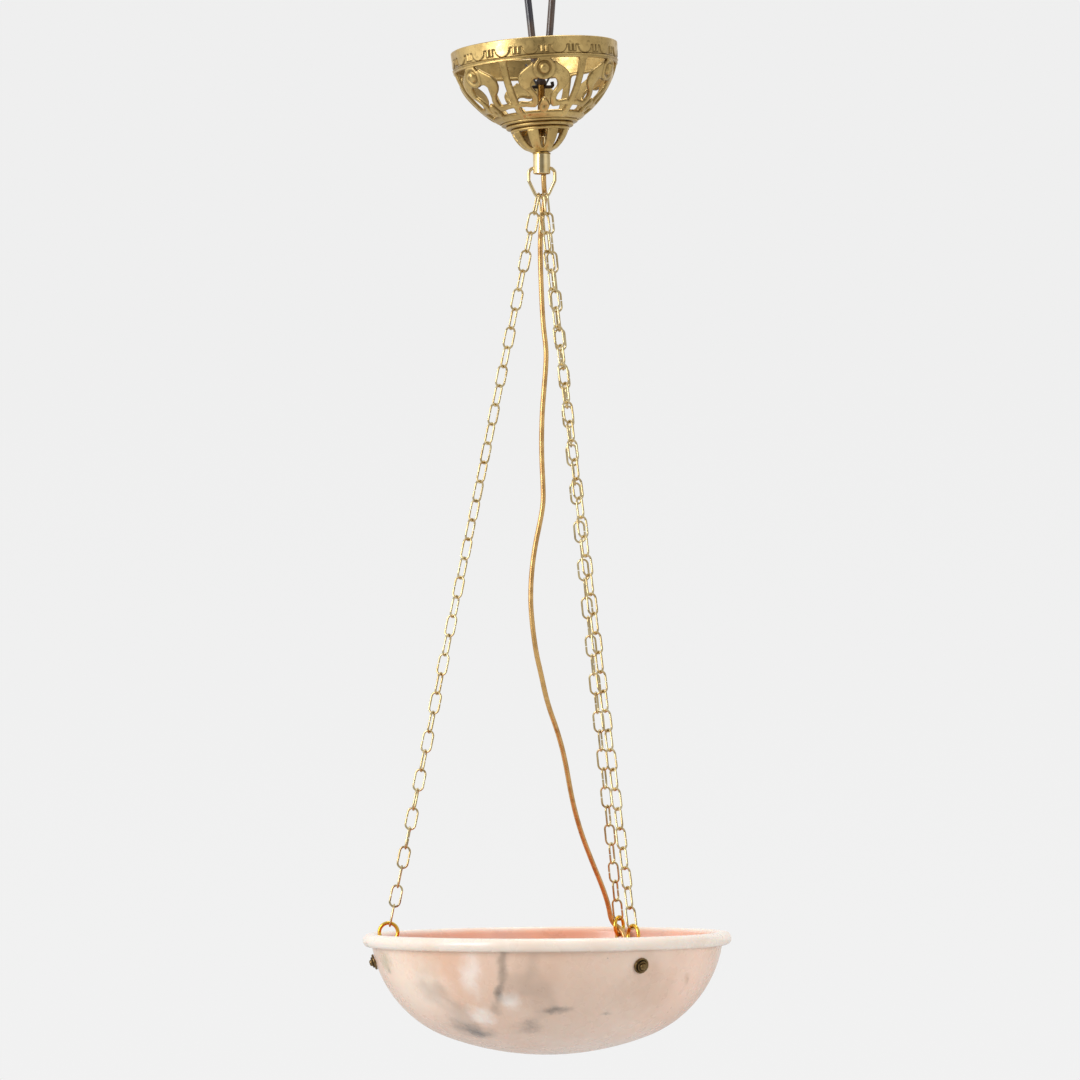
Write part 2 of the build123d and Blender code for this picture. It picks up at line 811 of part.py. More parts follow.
def make_canopy_finial():
    """The small cup: a bellied shell with a floor and eight lancet slots."""
    low = rock_z
    top = finial_top_z - 0.02
    with BuildPart() as finial:
        with BuildSketch(Plane.XZ):
            with BuildLine():
                bore = neck_radius + finial_hole_gap
                inner_low = (finial_low_radius + 1.0, low + finial_floor)
                inner_top = (finial_radius - finial_wall, top)
                Line((bore, low), (finial_low_radius, low))
                ThreePointArc(
                    (finial_low_radius, low),
                    (finial_radius - finial_belly, low + 0.42 * finial_height),
                    (finial_radius, top),
                )
                Line((finial_radius, top), inner_top)
                ThreePointArc(
                    inner_top,
                    (finial_radius - finial_belly - finial_wall, low + 0.5 * finial_height),
                    inner_low,
                )
                Polyline(inner_low, (bore, low + finial_floor), (bore, low))
            make_face()
        revolve(axis=Axis.Z)
        for number in range(petal_count):
            angle = bay_turn + number * 360 / petal_count
            with BuildSketch(outward_plane(angle, finial_low_radius, low)):
                with BuildLine():
                    half = slot_width / 2
                    high = finial_height - slot_top_gap
                    Line((-half, high), (half, high))
                    ThreePointArc(
                        (half, high), (half * 0.72, finial_height * 0.5), (0, slot_foot_gap)
                    )
                    ThreePointArc(
                        (0, slot_foot_gap), (-half * 0.72, finial_height * 0.5), (-half, high)
                    )
                make_face()
            extrude(amount=finial_radius, mode=Mode.SUBTRACT)
    return finial.part.rotate(rock_axis, -canopy_lean)


# ---- lampholder -----------------------------------------------------------------------
pad_top_z = floor_height(pad_radius) + pad_edge
holder_low_z = pad_top_z + foot_plate_height
mouth_z = holder_low_z + holder_height
socket_floor_z = mouth_z - shell_length - 3.0


def make_pad():
    with BuildPart() as pad:
        with BuildSketch(Plane.XZ):
            with BuildLine():
                ThreePointArc(
                    (0, floor_height(0)),
                    (pad_radius / 2, floor_height(pad_radius / 2)),
                    (pad_radius, floor_height(pad_radius)),
                )
                Polyline(
                    (pad_radius, floor_height(pad_radius)),
                    (pad_radius, pad_top_z),
                    (0, pad_top_z),
                    (0, floor_height(0)),
                )
            make_face()
        revolve(axis=Axis.Z)
    return pad.part


def grip_plane(reach):
    return outward_plane(grip_angle, reach, pad_top_z + foot_plate_height / 2)


def make_foot_plate():
    """A turned cup, upside down on the pad, that carries the holder."""
    with BuildPart() as plate:
        with BuildSketch(Plane.XY.offset(pad_top_z)):
            Circle(foot_plate_radius)
        extrude(amount=foot_plate_height)
        fillet(plate.faces().sort_by(Axis.Z)[-1].edges(), 2.4)
        with BuildSketch(Plane.XY.offset(pad_top_z)):
            Circle(foot_plate_radius - foot_plate_wall)
        extrude(amount=foot_plate_height - 2 * foot_plate_wall, mode=Mode.SUBTRACT)
        with BuildSketch(grip_plane(foot_plate_radius / 2)):
            Circle(flex_diameter / 2 + 0.2)
        extrude(amount=foot_plate_radius, mode=Mode.SUBTRACT)
    return plate.part


def make_grip():
    """The bush round the flex in the side of the foot plate."""
    inside = foot_plate_radius - foot_plate_wall - 2.0
    with BuildPart() as grip:
        with BuildSketch(grip_plane(inside)):
            Circle(flex_diameter / 2 + 0.1)
        extrude(amount=grip_reach - inside)
        with BuildSketch(grip_plane(foot_plate_radius + 0.1)):
            Circle(grip_radius)
        extrude(amount=grip_reach - foot_plate_radius - 0.1, taper=6)
    return grip.part


def make_holder():
    """The glazed porcelain body with the well for its screw shell."""
    well = shell_bore_radius + shell_wall + fit_gap
    with BuildPart() as holder:
        with BuildSketch(Plane.XY.offset(holder_low_z)):
            Circle(holder_radius)
        extrude(amount=holder_height)
        fillet(holder.faces().sort_by(Axis.Z)[-1].edges(), 3.0)
        fillet(holder.faces().sort_by(Axis.Z)[0].edges(), 1.0)
        with BuildSketch(Plane.XY.offset(socket_floor_z)):
            Circle(well)
        extrude(amount=holder_height, mode=Mode.SUBTRACT)
    return holder.part


def make_screw_shell():
    with BuildPart() as shell:
        with BuildSketch(Plane.XY.offset(mouth_z - 1.0 - shell_length)):
            Circle(shell_bore_radius + shell_wall)
            Circle(shell_bore_radius, mode=Mode.SUBTRACT)
        extrude(amount=shell_length)
    return shell.part


def make_contact():
    """The centre contact on the floor of the well."""
    with BuildPart() as contact:
        with BuildSketch(Plane.XY.offset(socket_floor_z)):
            Circle(contact_radius)
        extrude(amount=contact_height)
        fillet(contact.faces().sort_by(Axis.Z)[-1].edges(), 0.8)
    return contact.part


# ---- flex ---------------------------------------------------------------------------
def make_flex():
    ring = ring_centre("back")
    bush = [*flex_at_grip, (grip_reach, 0.0)]
    route = flex_route + [tuple(ring + Vector(*offset)) for offset in flex_at_ring]
    route += [tuple(grip_plane(reach).origin + Vector(0, 0, rise)) for reach, rise in bush]
    radii = corner_radii(route)
    print("flex radii, mm:", [round(radius) for radius in radii])
    flex = rod(route, flex_diameter, radii)
    with BuildLine() as path:
        FilletPolyline(*route, radius=radii)
    length = sum(edge.length for edge in path.edges())
    section = pi * (flex_diameter / 2) ** 2
    print("flex length, mm:", round(length, 1))
    print("flex volume over section times length:", round(flex.volume / section / length, 5))
    return flex


def make_flex_inner():
    """The end of the flex inside the sleeve."""
    with BuildPart() as flex:
        with BuildSketch(Plane.XY.offset(sleeve_bottom_z)):
            with Locations(flex_place):
                Circle(flex_diameter / 2)
        extrude(amount=flex_inner_top_z - sleeve_bottom_z)
    return flex.part


if __name__ == "__main__":
    os.makedirs("parts", exist_ok=True)
    write(make_hanging_cord(), "hanging_cord")
    write(make_eye_nut(), "eye_nut")
    write(make_cross_pin(), "cross_pin")
    write(make_tube(), "suspension_tube")
    write(make_core(-1), "core_left")
    write(make_core(1), "core_right")
    write(make_sleeve(), "sleeve")
    write(make_flex_inner(), "flex_inner")
    write(make_washer(), "seat_washer")
    write(make_canopy_cup(), "canopy_cup")
    write(make_canopy_finial(), "canopy_finial")
    write(make_loop(), "main_loop")
    for side in fixing_angles:
        write(make_chain(side), f"chain_{side}")
        write(make_ring(side), f"ring_{side}")
        write(make_lug(side), f"lug_{side}")
        write(make_rosette(side), f"rosette_{side}")
        write(make_bolt(side), f"bolt_{side}")
        write(make_nut(side), f"nut_{side}")
    write(make_bowl(), "bowl")
    write(make_flex(), "flex")
    write(make_pad(), "felt_pad")
    write(make_foot_plate(), "foot_plate")
    write(make_grip(), "cord_grip")
    write(make_holder(), "lampholder")
    write(make_screw_shell(), "screw_shell")
    write(make_contact(), "centre_contact")
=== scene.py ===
import json
import bmesh
import bpy
import numpy as np
from math import acos, asin, atan2, cos, degrees, hypot, pi, radians, sin, sqrt, tan
from mathutils import Matrix, Vector

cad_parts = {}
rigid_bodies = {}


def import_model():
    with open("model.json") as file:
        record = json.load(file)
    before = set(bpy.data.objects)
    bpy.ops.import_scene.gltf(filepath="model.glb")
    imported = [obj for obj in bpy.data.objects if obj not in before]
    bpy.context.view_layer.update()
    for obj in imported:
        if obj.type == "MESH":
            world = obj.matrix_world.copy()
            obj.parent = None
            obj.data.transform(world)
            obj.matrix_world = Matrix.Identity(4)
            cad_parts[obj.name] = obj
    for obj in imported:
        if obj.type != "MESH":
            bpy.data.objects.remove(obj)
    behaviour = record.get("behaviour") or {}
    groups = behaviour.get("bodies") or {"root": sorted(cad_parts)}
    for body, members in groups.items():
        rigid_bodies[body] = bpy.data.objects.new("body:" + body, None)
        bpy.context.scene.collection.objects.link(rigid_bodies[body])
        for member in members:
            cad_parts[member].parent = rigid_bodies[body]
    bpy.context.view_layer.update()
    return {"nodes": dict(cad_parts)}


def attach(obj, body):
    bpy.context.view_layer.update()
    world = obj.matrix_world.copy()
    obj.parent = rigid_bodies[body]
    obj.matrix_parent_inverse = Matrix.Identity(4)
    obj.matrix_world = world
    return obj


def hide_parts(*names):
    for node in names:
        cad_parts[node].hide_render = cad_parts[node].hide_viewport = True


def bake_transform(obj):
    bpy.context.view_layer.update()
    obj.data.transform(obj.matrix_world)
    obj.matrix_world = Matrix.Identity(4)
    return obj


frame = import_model()
scene = bpy.context.scene
MM = 0.001

# ---------------------------------------------------------------- camera
PIXEL = 0.8705                # mm in one pixel of the picture, at the light
PX = PIXEL * MM
AXIS_PX, HOOK_PY = 547.5, -44  # where the picture has the light's axis and its hook
MIDDLE_PY = 540
CENTRE_Z = (HOOK_PY - MIDDLE_PY) * PX
HORIZON_Z = -800.7 * PX       # height of the lens
DISTANCE = 4.5
LENS, SENSOR = 172.48, 36     # mm
AIM_X = -4.3 * PX
ROLL = -0.39                  # degrees


def make_camera():
    data = bpy.data.cameras.new("camera")
    data.sensor_width = SENSOR
    data.lens = LENS
    data.clip_end = 200
    cam = bpy.data.objects.new("camera", data)
    scene.collection.objects.link(cam)
    place = Vector((AIM_X, -DISTANCE, HORIZON_Z))
    aim = Vector((AIM_X, 0, CENTRE_Z))
    cam.location = place
    turn = (aim - place).to_track_quat("-Z", "Y")
    cam.rotation_mode = "QUATERNION"
    cam.rotation_quaternion = turn @ Matrix.Rotation(radians(ROLL), 3, "Z").to_quaternion()
    scene.camera = cam


make_camera()


# ---------------------------------------------------------------- mesh helpers
def mesh_piece(name, points, faces, slot=None, sharp=None):
    mesh = bpy.data.meshes.new(name)
    mesh.from_pydata([tuple(p) for p in points], [], faces)
    mesh.validate()
    mesh.update()
    piece = bpy.data.objects.new(name, mesh)
    scene.collection.objects.link(piece)
    mesh.polygons.foreach_set("use_smooth", [True] * len(mesh.polygons))
    if sharp:
        mesh.set_sharp_from_angle(angle=radians(sharp))
    return piece


def point_values(piece, name, values):
    """Store a value on each vertex, for a material to read."""
    attribute = piece.data.attributes.new(name, "FLOAT", "POINT")
    attribute.data.foreach_set("value", np.array(values, np.float32))


def spline_path(name, route):
    """Points read from a NURBS spline through a route's control points, in metres."""
    curve = bpy.data.curves.new(name + "_line", "CURVE")
    curve.dimensions = "3D"
    spline = curve.splines.new("NURBS")
    spline.points.add(len(route) - 1)
    for point, place in zip(spline.points, route):
        point.co = (*[v * MM for v in place], 1)
    spline.order_u = 3
    spline.use_endpoint_u = True
    spline.resolution_u = 10
    line = bpy.data.objects.new(name + "_line", curve)
    scene.collection.objects.link(line)
    bpy.context.view_layer.update()
    mesh = bpy.data.meshes.new_from_object(line)
    points = [Vector(v.co) for v in mesh.vertices]
    bpy.data.meshes.remove(mesh)
    bpy.data.objects.remove(line)
    return points


def sweep_tube(points, radius, sides=16, closed=False, start_normal=None):
    """Vertices and faces of a round tube along points, with frames carried along it."""
    pts = [Vector(p) for p in points]
    n = len(pts)
    tangents = []
    for i in range(n):
        a = pts[i - 1] if (i or closed) else pts[0]
        b = pts[(i + 1) % n] if (i < n - 1 or closed) else pts[-1]
        tangents.append((b - a).normalized())
    normal = start_normal or tangents[0].orthogonal().normalized()
    normal = (normal - tangents[0] * normal.dot(tangents[0])).normalized()
    verts, faces = [], []
    for i in range(n):
        if i:
            normal = (normal - tangents[i] * normal.dot(tangents[i])).normalized()
        other = tangents[i].cross(normal)
        for k in range(sides):
            a = 2 * pi * k / sides
            verts.append(pts[i] + (normal * cos(a) + other * sin(a)) * radius)
    rings = n if closed else n - 1
    for i in range(rings):
        j = (i + 1) % n
        for k in range(sides):
            m = (k + 1) % sides
            faces.append((i * sides + k, i * sides + m, j * sides + m, j * sides + k))
    if not closed:
        faces.append(tuple(range(sides))[::-1])
        faces.append(tuple((n - 1) * sides + k for k in range(sides)))
    return verts, faces


def tube_piece(name, points, radius, sides=16, closed=False, slot=None):
    return mesh_piece(name, *sweep_tube(points, radius, sides, closed), slot=slot)


def turned(profile, segments, place=Matrix.Identity(4), ripple=None):
    """A closed profile of (radius, height) in mm turned round Z, then moved to its place."""
    verts, faces = [], []
    n = len(profile)
    for k in range(segments):
        a = 2 * pi * k / segments
        for i, (r, z) in enumerate(profile):
            dr, dz = ripple(a, r, z) if ripple else (0, 0)
            verts.append(place @ Vector(((r + dr) * cos(a), (r + dr) * sin(a), z + dz)) * MM)
    for k in range(segments):
        m = (k + 1) % segments
        for i in range(n):
            j = (i + 1) % n
            if profile[i][0] < 1e-6 and profile[j][0] < 1e-6:
                continue
            faces.append((k * n + i, m * n + i, m * n + j, k * n + j))
    return verts, faces


def rounded(profile, radii, steps=4):
    """A closed profile with each corner rounded by its own radius."""
    out = []
    n = len(profile)
    for i, (corner, radius) in enumerate(zip(profile, radii)):
        if radius <= 0:
            out.append(tuple(corner))
            continue
        before, after = Vector(profile[i - 1]), Vector(profile[(i + 1) % n])
        here = Vector(corner)
        u, v = (before - here).normalized(), (after - here).normalized()
        half = u.angle(v) / 2
        reach = min(radius / tan(half), 0.49 * min((before - here).length, (after - here).length))
        real = reach * tan(half)
        centre = here + (u + v).normalized() * (real / sin(half))
        start, end = here + u * reach - centre, here + v * reach - centre
        sweep = start.angle_signed(end)
        for s in range(steps + 1):
            turn = -sweep * s / steps
            c, w = cos(turn), sin(turn)
            out.append((
                centre.x + start.x * c - start.y * w,
                centre.y + start.x * w + start.y * c,
            ))
    return out


def arc_points(a, b, c, count):
    """Points on the circle through three points of a section, from a to c."""
    (ax, ay), (bx, by), (cx, cy) = a, b, c
    d = 2 * (ax * (by - cy) + bx * (cy - ay) + cx * (ay - by))
    aa, bb, cc = ax**2 + ay**2, bx**2 + by**2, cx**2 + cy**2
    ux = (aa * (by - cy) + bb * (cy - ay) + cc * (ay - by)) / d
    uy = (aa * (cx - bx) + bb * (ax - cx) + cc * (bx - ax)) / d
    radius = hypot(ax - ux, ay - uy)
    t0, t1, t2 = (atan2(y - uy, x - ux) for x, y in (a, b, c))
    sweep = (t2 - t0) % (2 * pi)
    if (t1 - t0) % (2 * pi) > sweep:
        sweep -= 2 * pi
    return [
        (ux + radius * cos(t0 + sweep * i / count), uy + radius * sin(t0 + sweep * i / count))
        for i in range(count + 1)
    ]


# ---------------------------------------------------------------- cords
FLEX_ROUTE = [
    (1.6, 4.05, -188.5), (1.6, 4.05, -196.5), (2.7, 9.2, -209.0), (0.4, 9.7, -223.0),
    (-1.5, 8.3, -238.0), (-1.9, 6.4, -257.0), (-1.2, 4.6, -287.0), (0.1, 3.0, -319.5),
    (2.9, 2.0, -342.0), (2.4, 1.2, -357.0), (0.7, 0.6, -376.0), (-1.4, 0.2, -401.0),
    (-2.0, 0.0, -433.0), (-0.5, -0.2, -466.0), (-0.9, -0.2, -478.0), (-3.4, 0.0, -492.0),
    (-7.5, 0.3, -510.5), (-10.3, 0.4, -528.0), (-12.1, 0.2, -548.0), (-12.2, 0.3, -570.0),
    (-8.4, 2.0, -604.0), (-3.6, 5.5, -625.0), (1.6, 10.0, -650.0), (11.2, 24.0, -677.0),
    (17.0, 35.5, -700.0), (23.0, 47.5, -736.0), (30.6, 63.0, -764.0), (40.4, 82.0, -790.0),
    (49.0, 99.5, -811.0), (55.0, 113.5, -829.0), (57.5, 120.5, -844.9), (68.3, 116.6, -852.4),
    (70.5, 113.5, -866.0), (68.5, 106.0, -884.0), (61.0, 93.0, -903.0), (48.0, 72.0, -920.0),
    (36.9, 53.2, -932.5), (25.05, 36.18, -940.6), (17.08, 24.67, -940.6),
]
FLEX_D = 4.5
TURN_Z = -93.65               # middle of the hanging cord's turn in the eye
HANG_D = 6.3
CROWN_Z = HANG_D / 2          # the crown's centre line, over the hook
HANG_ROUTE = [
    (0.0, 0, TURN_Z - 5.0), (2.6, 0, TURN_Z - 5.0), (5.0, 0, TURN_Z - 2.9), (5.8, 0, TURN_Z + 6.0),
    (9.0, 0, -50.0), (11.8, 0, -12.0), (12.3, 0, -2.0), (7.4, 0, CROWN_Z), (0.0, 0, CROWN_Z),
    (-8.0, 0, CROWN_Z), (-13.8, 0, -2.0), (-13.6, 0, -12.0), (-9.6, 0, -50.0),
    (-5.8, 0, TURN_Z + 6.0), (-5.0, 0, TURN_Z - 2.9), (-2.6, 0, TURN_Z - 5.0),
    (0.0, 0, TURN_Z - 5.0),
]
CORE_D = 1.7
CORE_Z = -117.6               # where the cores leave the tube by its back hole


def core_route(hand):
    """From the flex's end, up inside the tube and out to one side of the eye nut."""
    x = hand * 0.93
    return [
        (1.6 + x, 4.05, -178.4), (x, 0, -174.8), (x, 0, -150.0), (x, 0, CORE_Z - 2.0),
        (x, 2.0, CORE_Z + 0.2), (x, 7.4, CORE_Z), (hand * 3.2, 8.6, -111.0),
        (hand * 5.6, 8.4, -105.6), (hand * 13.4, 6.0, -91.5),
    ]


flex_line = spline_path("flex", FLEX_ROUTE)
flex = tube_piece("flex_cord", flex_line, FLEX_D / 2 * MM, sides=18, slot="gold_flex")
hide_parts("flex")

hang_line = spline_path("hanging", HANG_ROUTE)
hanging = tube_piece("hanging_loop", hang_line, HANG_D / 2 * MM, sides=20, slot="brown_cord")
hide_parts("hanging_cord")
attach(hanging, "suspension")

cores = []
for hand, side in ((-1, "left"), (1, "right")):
    line = spline_path("core_" + side, core_route(hand))
    core = tube_piece("wire_" + side, line, CORE_D / 2 * MM, sides=10, slot="core_insulation")
    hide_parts("core_" + side)
    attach(core, "suspension")
    cores.append(core)

inner_line = spline_path("flex_inner", [(1.6, 4.05, -179.2), (1.6, 4.05, -184.0), FLEX_ROUTE[0]])
inner_flex = tube_piece("flex_in_sleeve", inner_line, FLEX_D / 2 * MM, sides=18, slot="gold_flex")
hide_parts("flex_inner")
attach(inner_flex, "suspension")


# ---------------------------------------------------------------- canopy
LEAN = 3.8                    # degrees
ROCK_Z = -169.78              # where it rocks on its washer
RIM_Z = -77.83
CANOPY_R = 73.1
BAND = 17.2                   # height of the unpierced band
BAND_LINE = BAND + 1.7        # lower edge of its astragal
DEPTH = 64.9                  # of the pierced cup, down to its beads
FOOT_R = 34.0
FOOT_RING = 3.7               # height of the ring that the ribs stand on
WALL = 2.8
BAYS = 6
BAY_TURN = 5.5                # degrees from the front to the middle of a bay
RIB = 6.6
FLOWER_Y, FLOWER_R = 26.8, 9.7
BOSS_Y = 56.9
CUP_COLUMNS = 720
BEADS = ((33.6, 2.55, 1.3), (29.6, 3.3, 1.6), (25.7, 3.3, 1.6))  # radius, height and bulge
RING_SEGMENTS = 180
FINIAL_TOP_R, FINIAL_MID_R, FINIAL_LOW_R = 25.0, 18.4, 8.0
FINIAL_TALL, FINIAL_MID = 19.9, 7.98
FINIAL_SLOTS = 8
SLOT_FOOT, SLOT_TOP = 2.7, 19.0
lean_matrix = (
    Matrix.Translation((0, 0, ROCK_Z)) @ Matrix.Rotation(radians(-LEAN), 4, "Y")
    @ Matrix.Translation((0, 0, -ROCK_Z))
)


def smoothstep(x, low, high):
    t = np.clip((x - low) / (high - low), 0, 1)
    return t * t * (3 - 2 * t)


def round_union(*fields, k=1.2):
    out = fields[0]
    for f in fields[1:]:
        h = np.clip(0.5 + 0.5 * (out - f) / k, 0, 1)
        out = out * (1 - h) + f * h - k * h * (1 - h)
    return out


def smooth_outline(points, steps=8):
    """A closed Catmull-Rom line through the points of an outline."""
    pts = np.array(points, float)
    out = []
    n = len(pts)
    for i in range(n):
        p0, p1, p2, p3 = pts[i - 1], pts[i], pts[(i + 1) % n], pts[(i + 2) % n]
        for s in range(steps):
            t = s / steps
            out.append(0.5 * (
                2 * p1 + (p2 - p0) * t + (2 * p0 - 5 * p1 + 4 * p2 - p3) * t**2
                + (3 * p1 - p0 - 3 * p2 + p3) * t**3
            ))
    return np.array(out)


def outline_field(x, y, outline):
    """Signed distance to a closed outline, negative inside."""
    best = np.full(x.shape, 1e9)
    inside = np.zeros(x.shape, bool)
    for a, b in zip(outline, np.roll(outline, -1, 0)):
        ex, ey = b - a
        wx, wy = x - a[0], y - a[1]
        t = np.clip((wx * ex + wy * ey) / max(ex * ex + ey * ey, 1e-9), 0, 1)
        best = np.minimum(best, np.hypot(wx - ex * t, wy - ey * t))
        if abs(ey) > 1e-12:
            crosses = (a[1] > y) != (b[1] > y)
            inside ^= crosses & (x < a[0] + (y - a[1]) / ey * ex)
    return np.where(inside, -best, best)


# right half of the leaves of a bay: distance from the bay's middle, height under the rim
LEAF = [
    (9.0, -22.2), (12.5, -23.6), (16.5, -26.2), (20.5, -29.1), (22.6, -32.4), (22.9, -35.6),
    (21.6, -39.4), (18.6, -42.8), (15.2, -45.3), (12.6, -47.8), (11.0, -50.5), (10.8, -52.8),
    (13.0, -53.8), (16.4, -53.6), (21.5, -53.0), (21.5, -56.4), (15.0, -57.1), (11.0, -57.7),
    (7.4, -57.8), (5.6, -56.0), (5.0, -52.8), (5.6, -49.8), (8.0, -46.4), (11.0, -42.9),
    (11.6, -40.3), (10.8, -37.6), (8.6, -35.6), (4.0, -34.0),
]


def row_normals(rows):
    """The outward normal of each row of a profile that runs down its outside."""
    along = np.gradient(rows, axis=0)
    along /= np.linalg.norm(along, axis=1)[:, None]
    return np.stack([-along[:, 1], along[:, 0]], 1)


def all_round(tile, count):
    """Half a bay, mirrored and repeated all round."""
    bay = np.concatenate([tile[:, :0:-1], tile[:, :-1]], 1)
    return np.concatenate([bay] * count, 1)


def true_distance(field, rows, step):
    """The field divided by its slope, so that it measures millimetres near its line."""
    du = rows[:, 0, None] * step
    ds = np.maximum(np.linalg.norm(np.gradient(rows, axis=0), axis=1)[:, None], 0.05)
    padded = np.concatenate([field[:, -1:], field, field[:, :1]], 1)
    gu = (padded[:, 2:] - padded[:, :-2]) / (2 * du)
    gs = np.gradient(field, axis=0) / ds
    return field / np.clip(np.hypot(gu, gs), 0.35, 2.0)


def edge_profile(distance, round_width, share):
    """How thick the wall is at a distance inside its outline, from share to 1."""
    e = np.clip(distance / round_width, 0, 1)
    return share + (1 - share) * np.sqrt(1 - (1 - e) ** 2)


def hump(distance, width):
    """A soft ridge, 1 high, where the distance is 0."""
    return np.exp(-(distance / width) ** 2)


def wobble(a, b, c):
    """A smooth wavering between -1 and 1 over a surface."""
    return (
        np.sin(2.1 * a + 1.7 * b + 0.6 * c) * 0.45
        + np.sin(1.3 * b - 2.4 * c + 4.1 * a + 1.0) * 0.3
        + np.sin(3.7 * a - 2.9 * b + 1.9 * c + 2.2) * 0.25
    )


def shell_mesh(name, rows, field, outer, inner, tone, start_angle, back_shade):
    """A pierced shell between two offset surfaces, cut along the line where field is 0.

    field, outer, inner and tone are arrays of (rows, columns), tone being painted shade; an angle
    counts from the front towards +X. Cells that the line crosses are cut, and the cut is closed by
    a wall.
    The back side gets one painted shade value of its own.
    """
    nr, nc = field.shape
    angle = radians(start_angle) + np.arange(nc) * 2 * pi / nc
    normal = row_normals(rows)

    def grid(offset):
        reach = rows[:, :1] + normal[:, :1] * offset
        height = rows[:, 1:] + normal[:, 1:] * offset
        return np.stack([reach * np.sin(angle), -reach * np.cos(angle), height], -1)

    sides = grid(outer), grid(inner)
    solid = field < 0
    number = np.full((nr, nc), -1)
    number[solid] = np.arange(int(solid.sum()))
    points = [[tuple(v) for v in side[solid]] for side in sides]
    painted_shades = list(tone[solid])
    cut = {}

    def crossing(a, b):
        """The vertex where the edge between grid points a (solid) and b (open) is cut."""
        if (a, b) not in cut:
            t = min(max(field[a] / (field[a] - field[b]), 0.02), 0.98)
            for side, found in zip(sides, points):
                found.append(tuple(side[a] * (1 - t) + side[b] * t))
            painted_shades.append(tone[a] * (1 - t) + tone[b] * t)
            cut[a, b] = len(painted_shades) - 1
        return cut[a, b]

    faces, walls = [], []
    for i in range(nr - 1):
        for j in range(nc):
            k = (j + 1) % nc
            ring = [(i, j), (i + 1, j), (i + 1, k), (i, k)]
            marks = [solid[p] for p in ring]
            if all(marks):
                faces.append([number[p] for p in ring])
                continue
            if not any(marks):
                continue
            polygon, exits = [], []
            for a, b, ma, mb in zip(ring, ring[1:] + ring[:1], marks, marks[1:] + marks[:1]):
                if ma:
                    polygon.append(number[a])
                if ma != mb:
                    v = crossing(a, b) if ma else crossing(b, a)
                    polygon.append(v)
                    exits.append((v, ma))
            faces.append(polygon)
            for n, (v, leaves) in enumerate(exits):
                if leaves:
                    walls.append((v, exits[(n + 1) % len(exits)][0]))
    for edge in (0, nr - 1):
        for j in range(nc):
            pair = (number[edge, j], number[edge, (j + 1) % nc])
            if min(pair) >= 0:
                walls.append(pair if edge else pair[::-1])
    total = len(painted_shades)
    all_faces = [f[::-1] for f in faces] + [[v + total for v in f] for f in faces]
    all_faces += [[a, b, b + total, a + total] for a, b in walls]
    verts = [tuple((lean_matrix @ Vector(v)) * MM) for v in points[0] + points[1]]
    piece = mesh_piece(name, verts, all_faces, slot="antique_brass", sharp=50)
    point_values(piece, "tone", painted_shades + [back_shade] * total)
    return piece


def cup_rows():
    """Rows of the cup's outer side: radius, and height from the rim."""
    band = [(CANOPY_R - 0.9 * y / BAND, -y) for y in np.linspace(0, BAND, 38)]
    arc = arc_points((CANOPY_R - 0.9 - 0.8, -BAND - 0.6), (60.2, -41.5), (FOOT_R, -DEPTH), 118)
    return np.array(band + arc)


def cup_pattern(rows, step):
    """Fields of the pierced pattern, negative in the metal, from half a bay of them."""
    phi = np.arange(CUP_COLUMNS // (2 * BAYS) + 1)[None] * step
    r = rows[:, 0, None]
    depth = -rows[:, 1, None] + 0 * phi
    x = r * np.sin(phi)
    leaf = outline_field(x, -depth, smooth_outline(LEAF))
    flower = np.hypot(x, depth - FLOWER_Y)
    boss = round_union(
        np.hypot(x, depth - BOSS_Y) - 4.8, np.hypot(x, depth - BOSS_Y + 3.4) - 2.2, k=2.0,
    )
    rib_half = RIB / 2 + 0.35 * smoothstep(depth, 40, 20)
    rib = np.abs(r * np.sin(pi / BAYS - phi)) - rib_half
    metal = round_union(leaf, flower - FLOWER_R, k=0.5)
    metal = round_union(metal, boss, k=0.7)
    frame_lines = round_union(rib, depth - BAND_LINE, k=3.0)
    frame_lines = round_union(frame_lines, DEPTH - FOOT_RING - depth, k=1.0)
    metal = round_union(metal, frame_lines, k=0.8)
    boss_middle = np.hypot(x, depth - BOSS_Y - 0.3)
    return [all_round(tile, BAYS) for tile in (metal, leaf, flower, boss, boss_middle, rib)]


def frieze_field(deep, angle):
    """Distance into the recess of the frieze, negative on its tongues, bars and top edge."""
    top, period, tongue_turn = 7.4, radians(20), radians(21.0)
    tongue_half, bar_middle, bar_side, bar_low = 6.6, 12.67, 1.95, 13.3
    place = (angle - tongue_turn + period / 2) % period - period / 2
    x = np.abs(72.6 * place[None] + 0 * deep)
    shoulder = top + 1.4
    tongue = np.where(
        deep > shoulder, np.hypot(x, (deep - shoulder) * 1.12) - tongue_half, x - tongue_half,
    )
    bars = np.maximum(np.abs(np.abs(bar_middle - x) - bar_side) - 1.15, deep - bar_low)
    raised = round_union(deep - top, tongue, k=1.6)
    raised = round_union(raised, bars, k=0.5)
    return np.minimum(raised, 15.3 - deep)


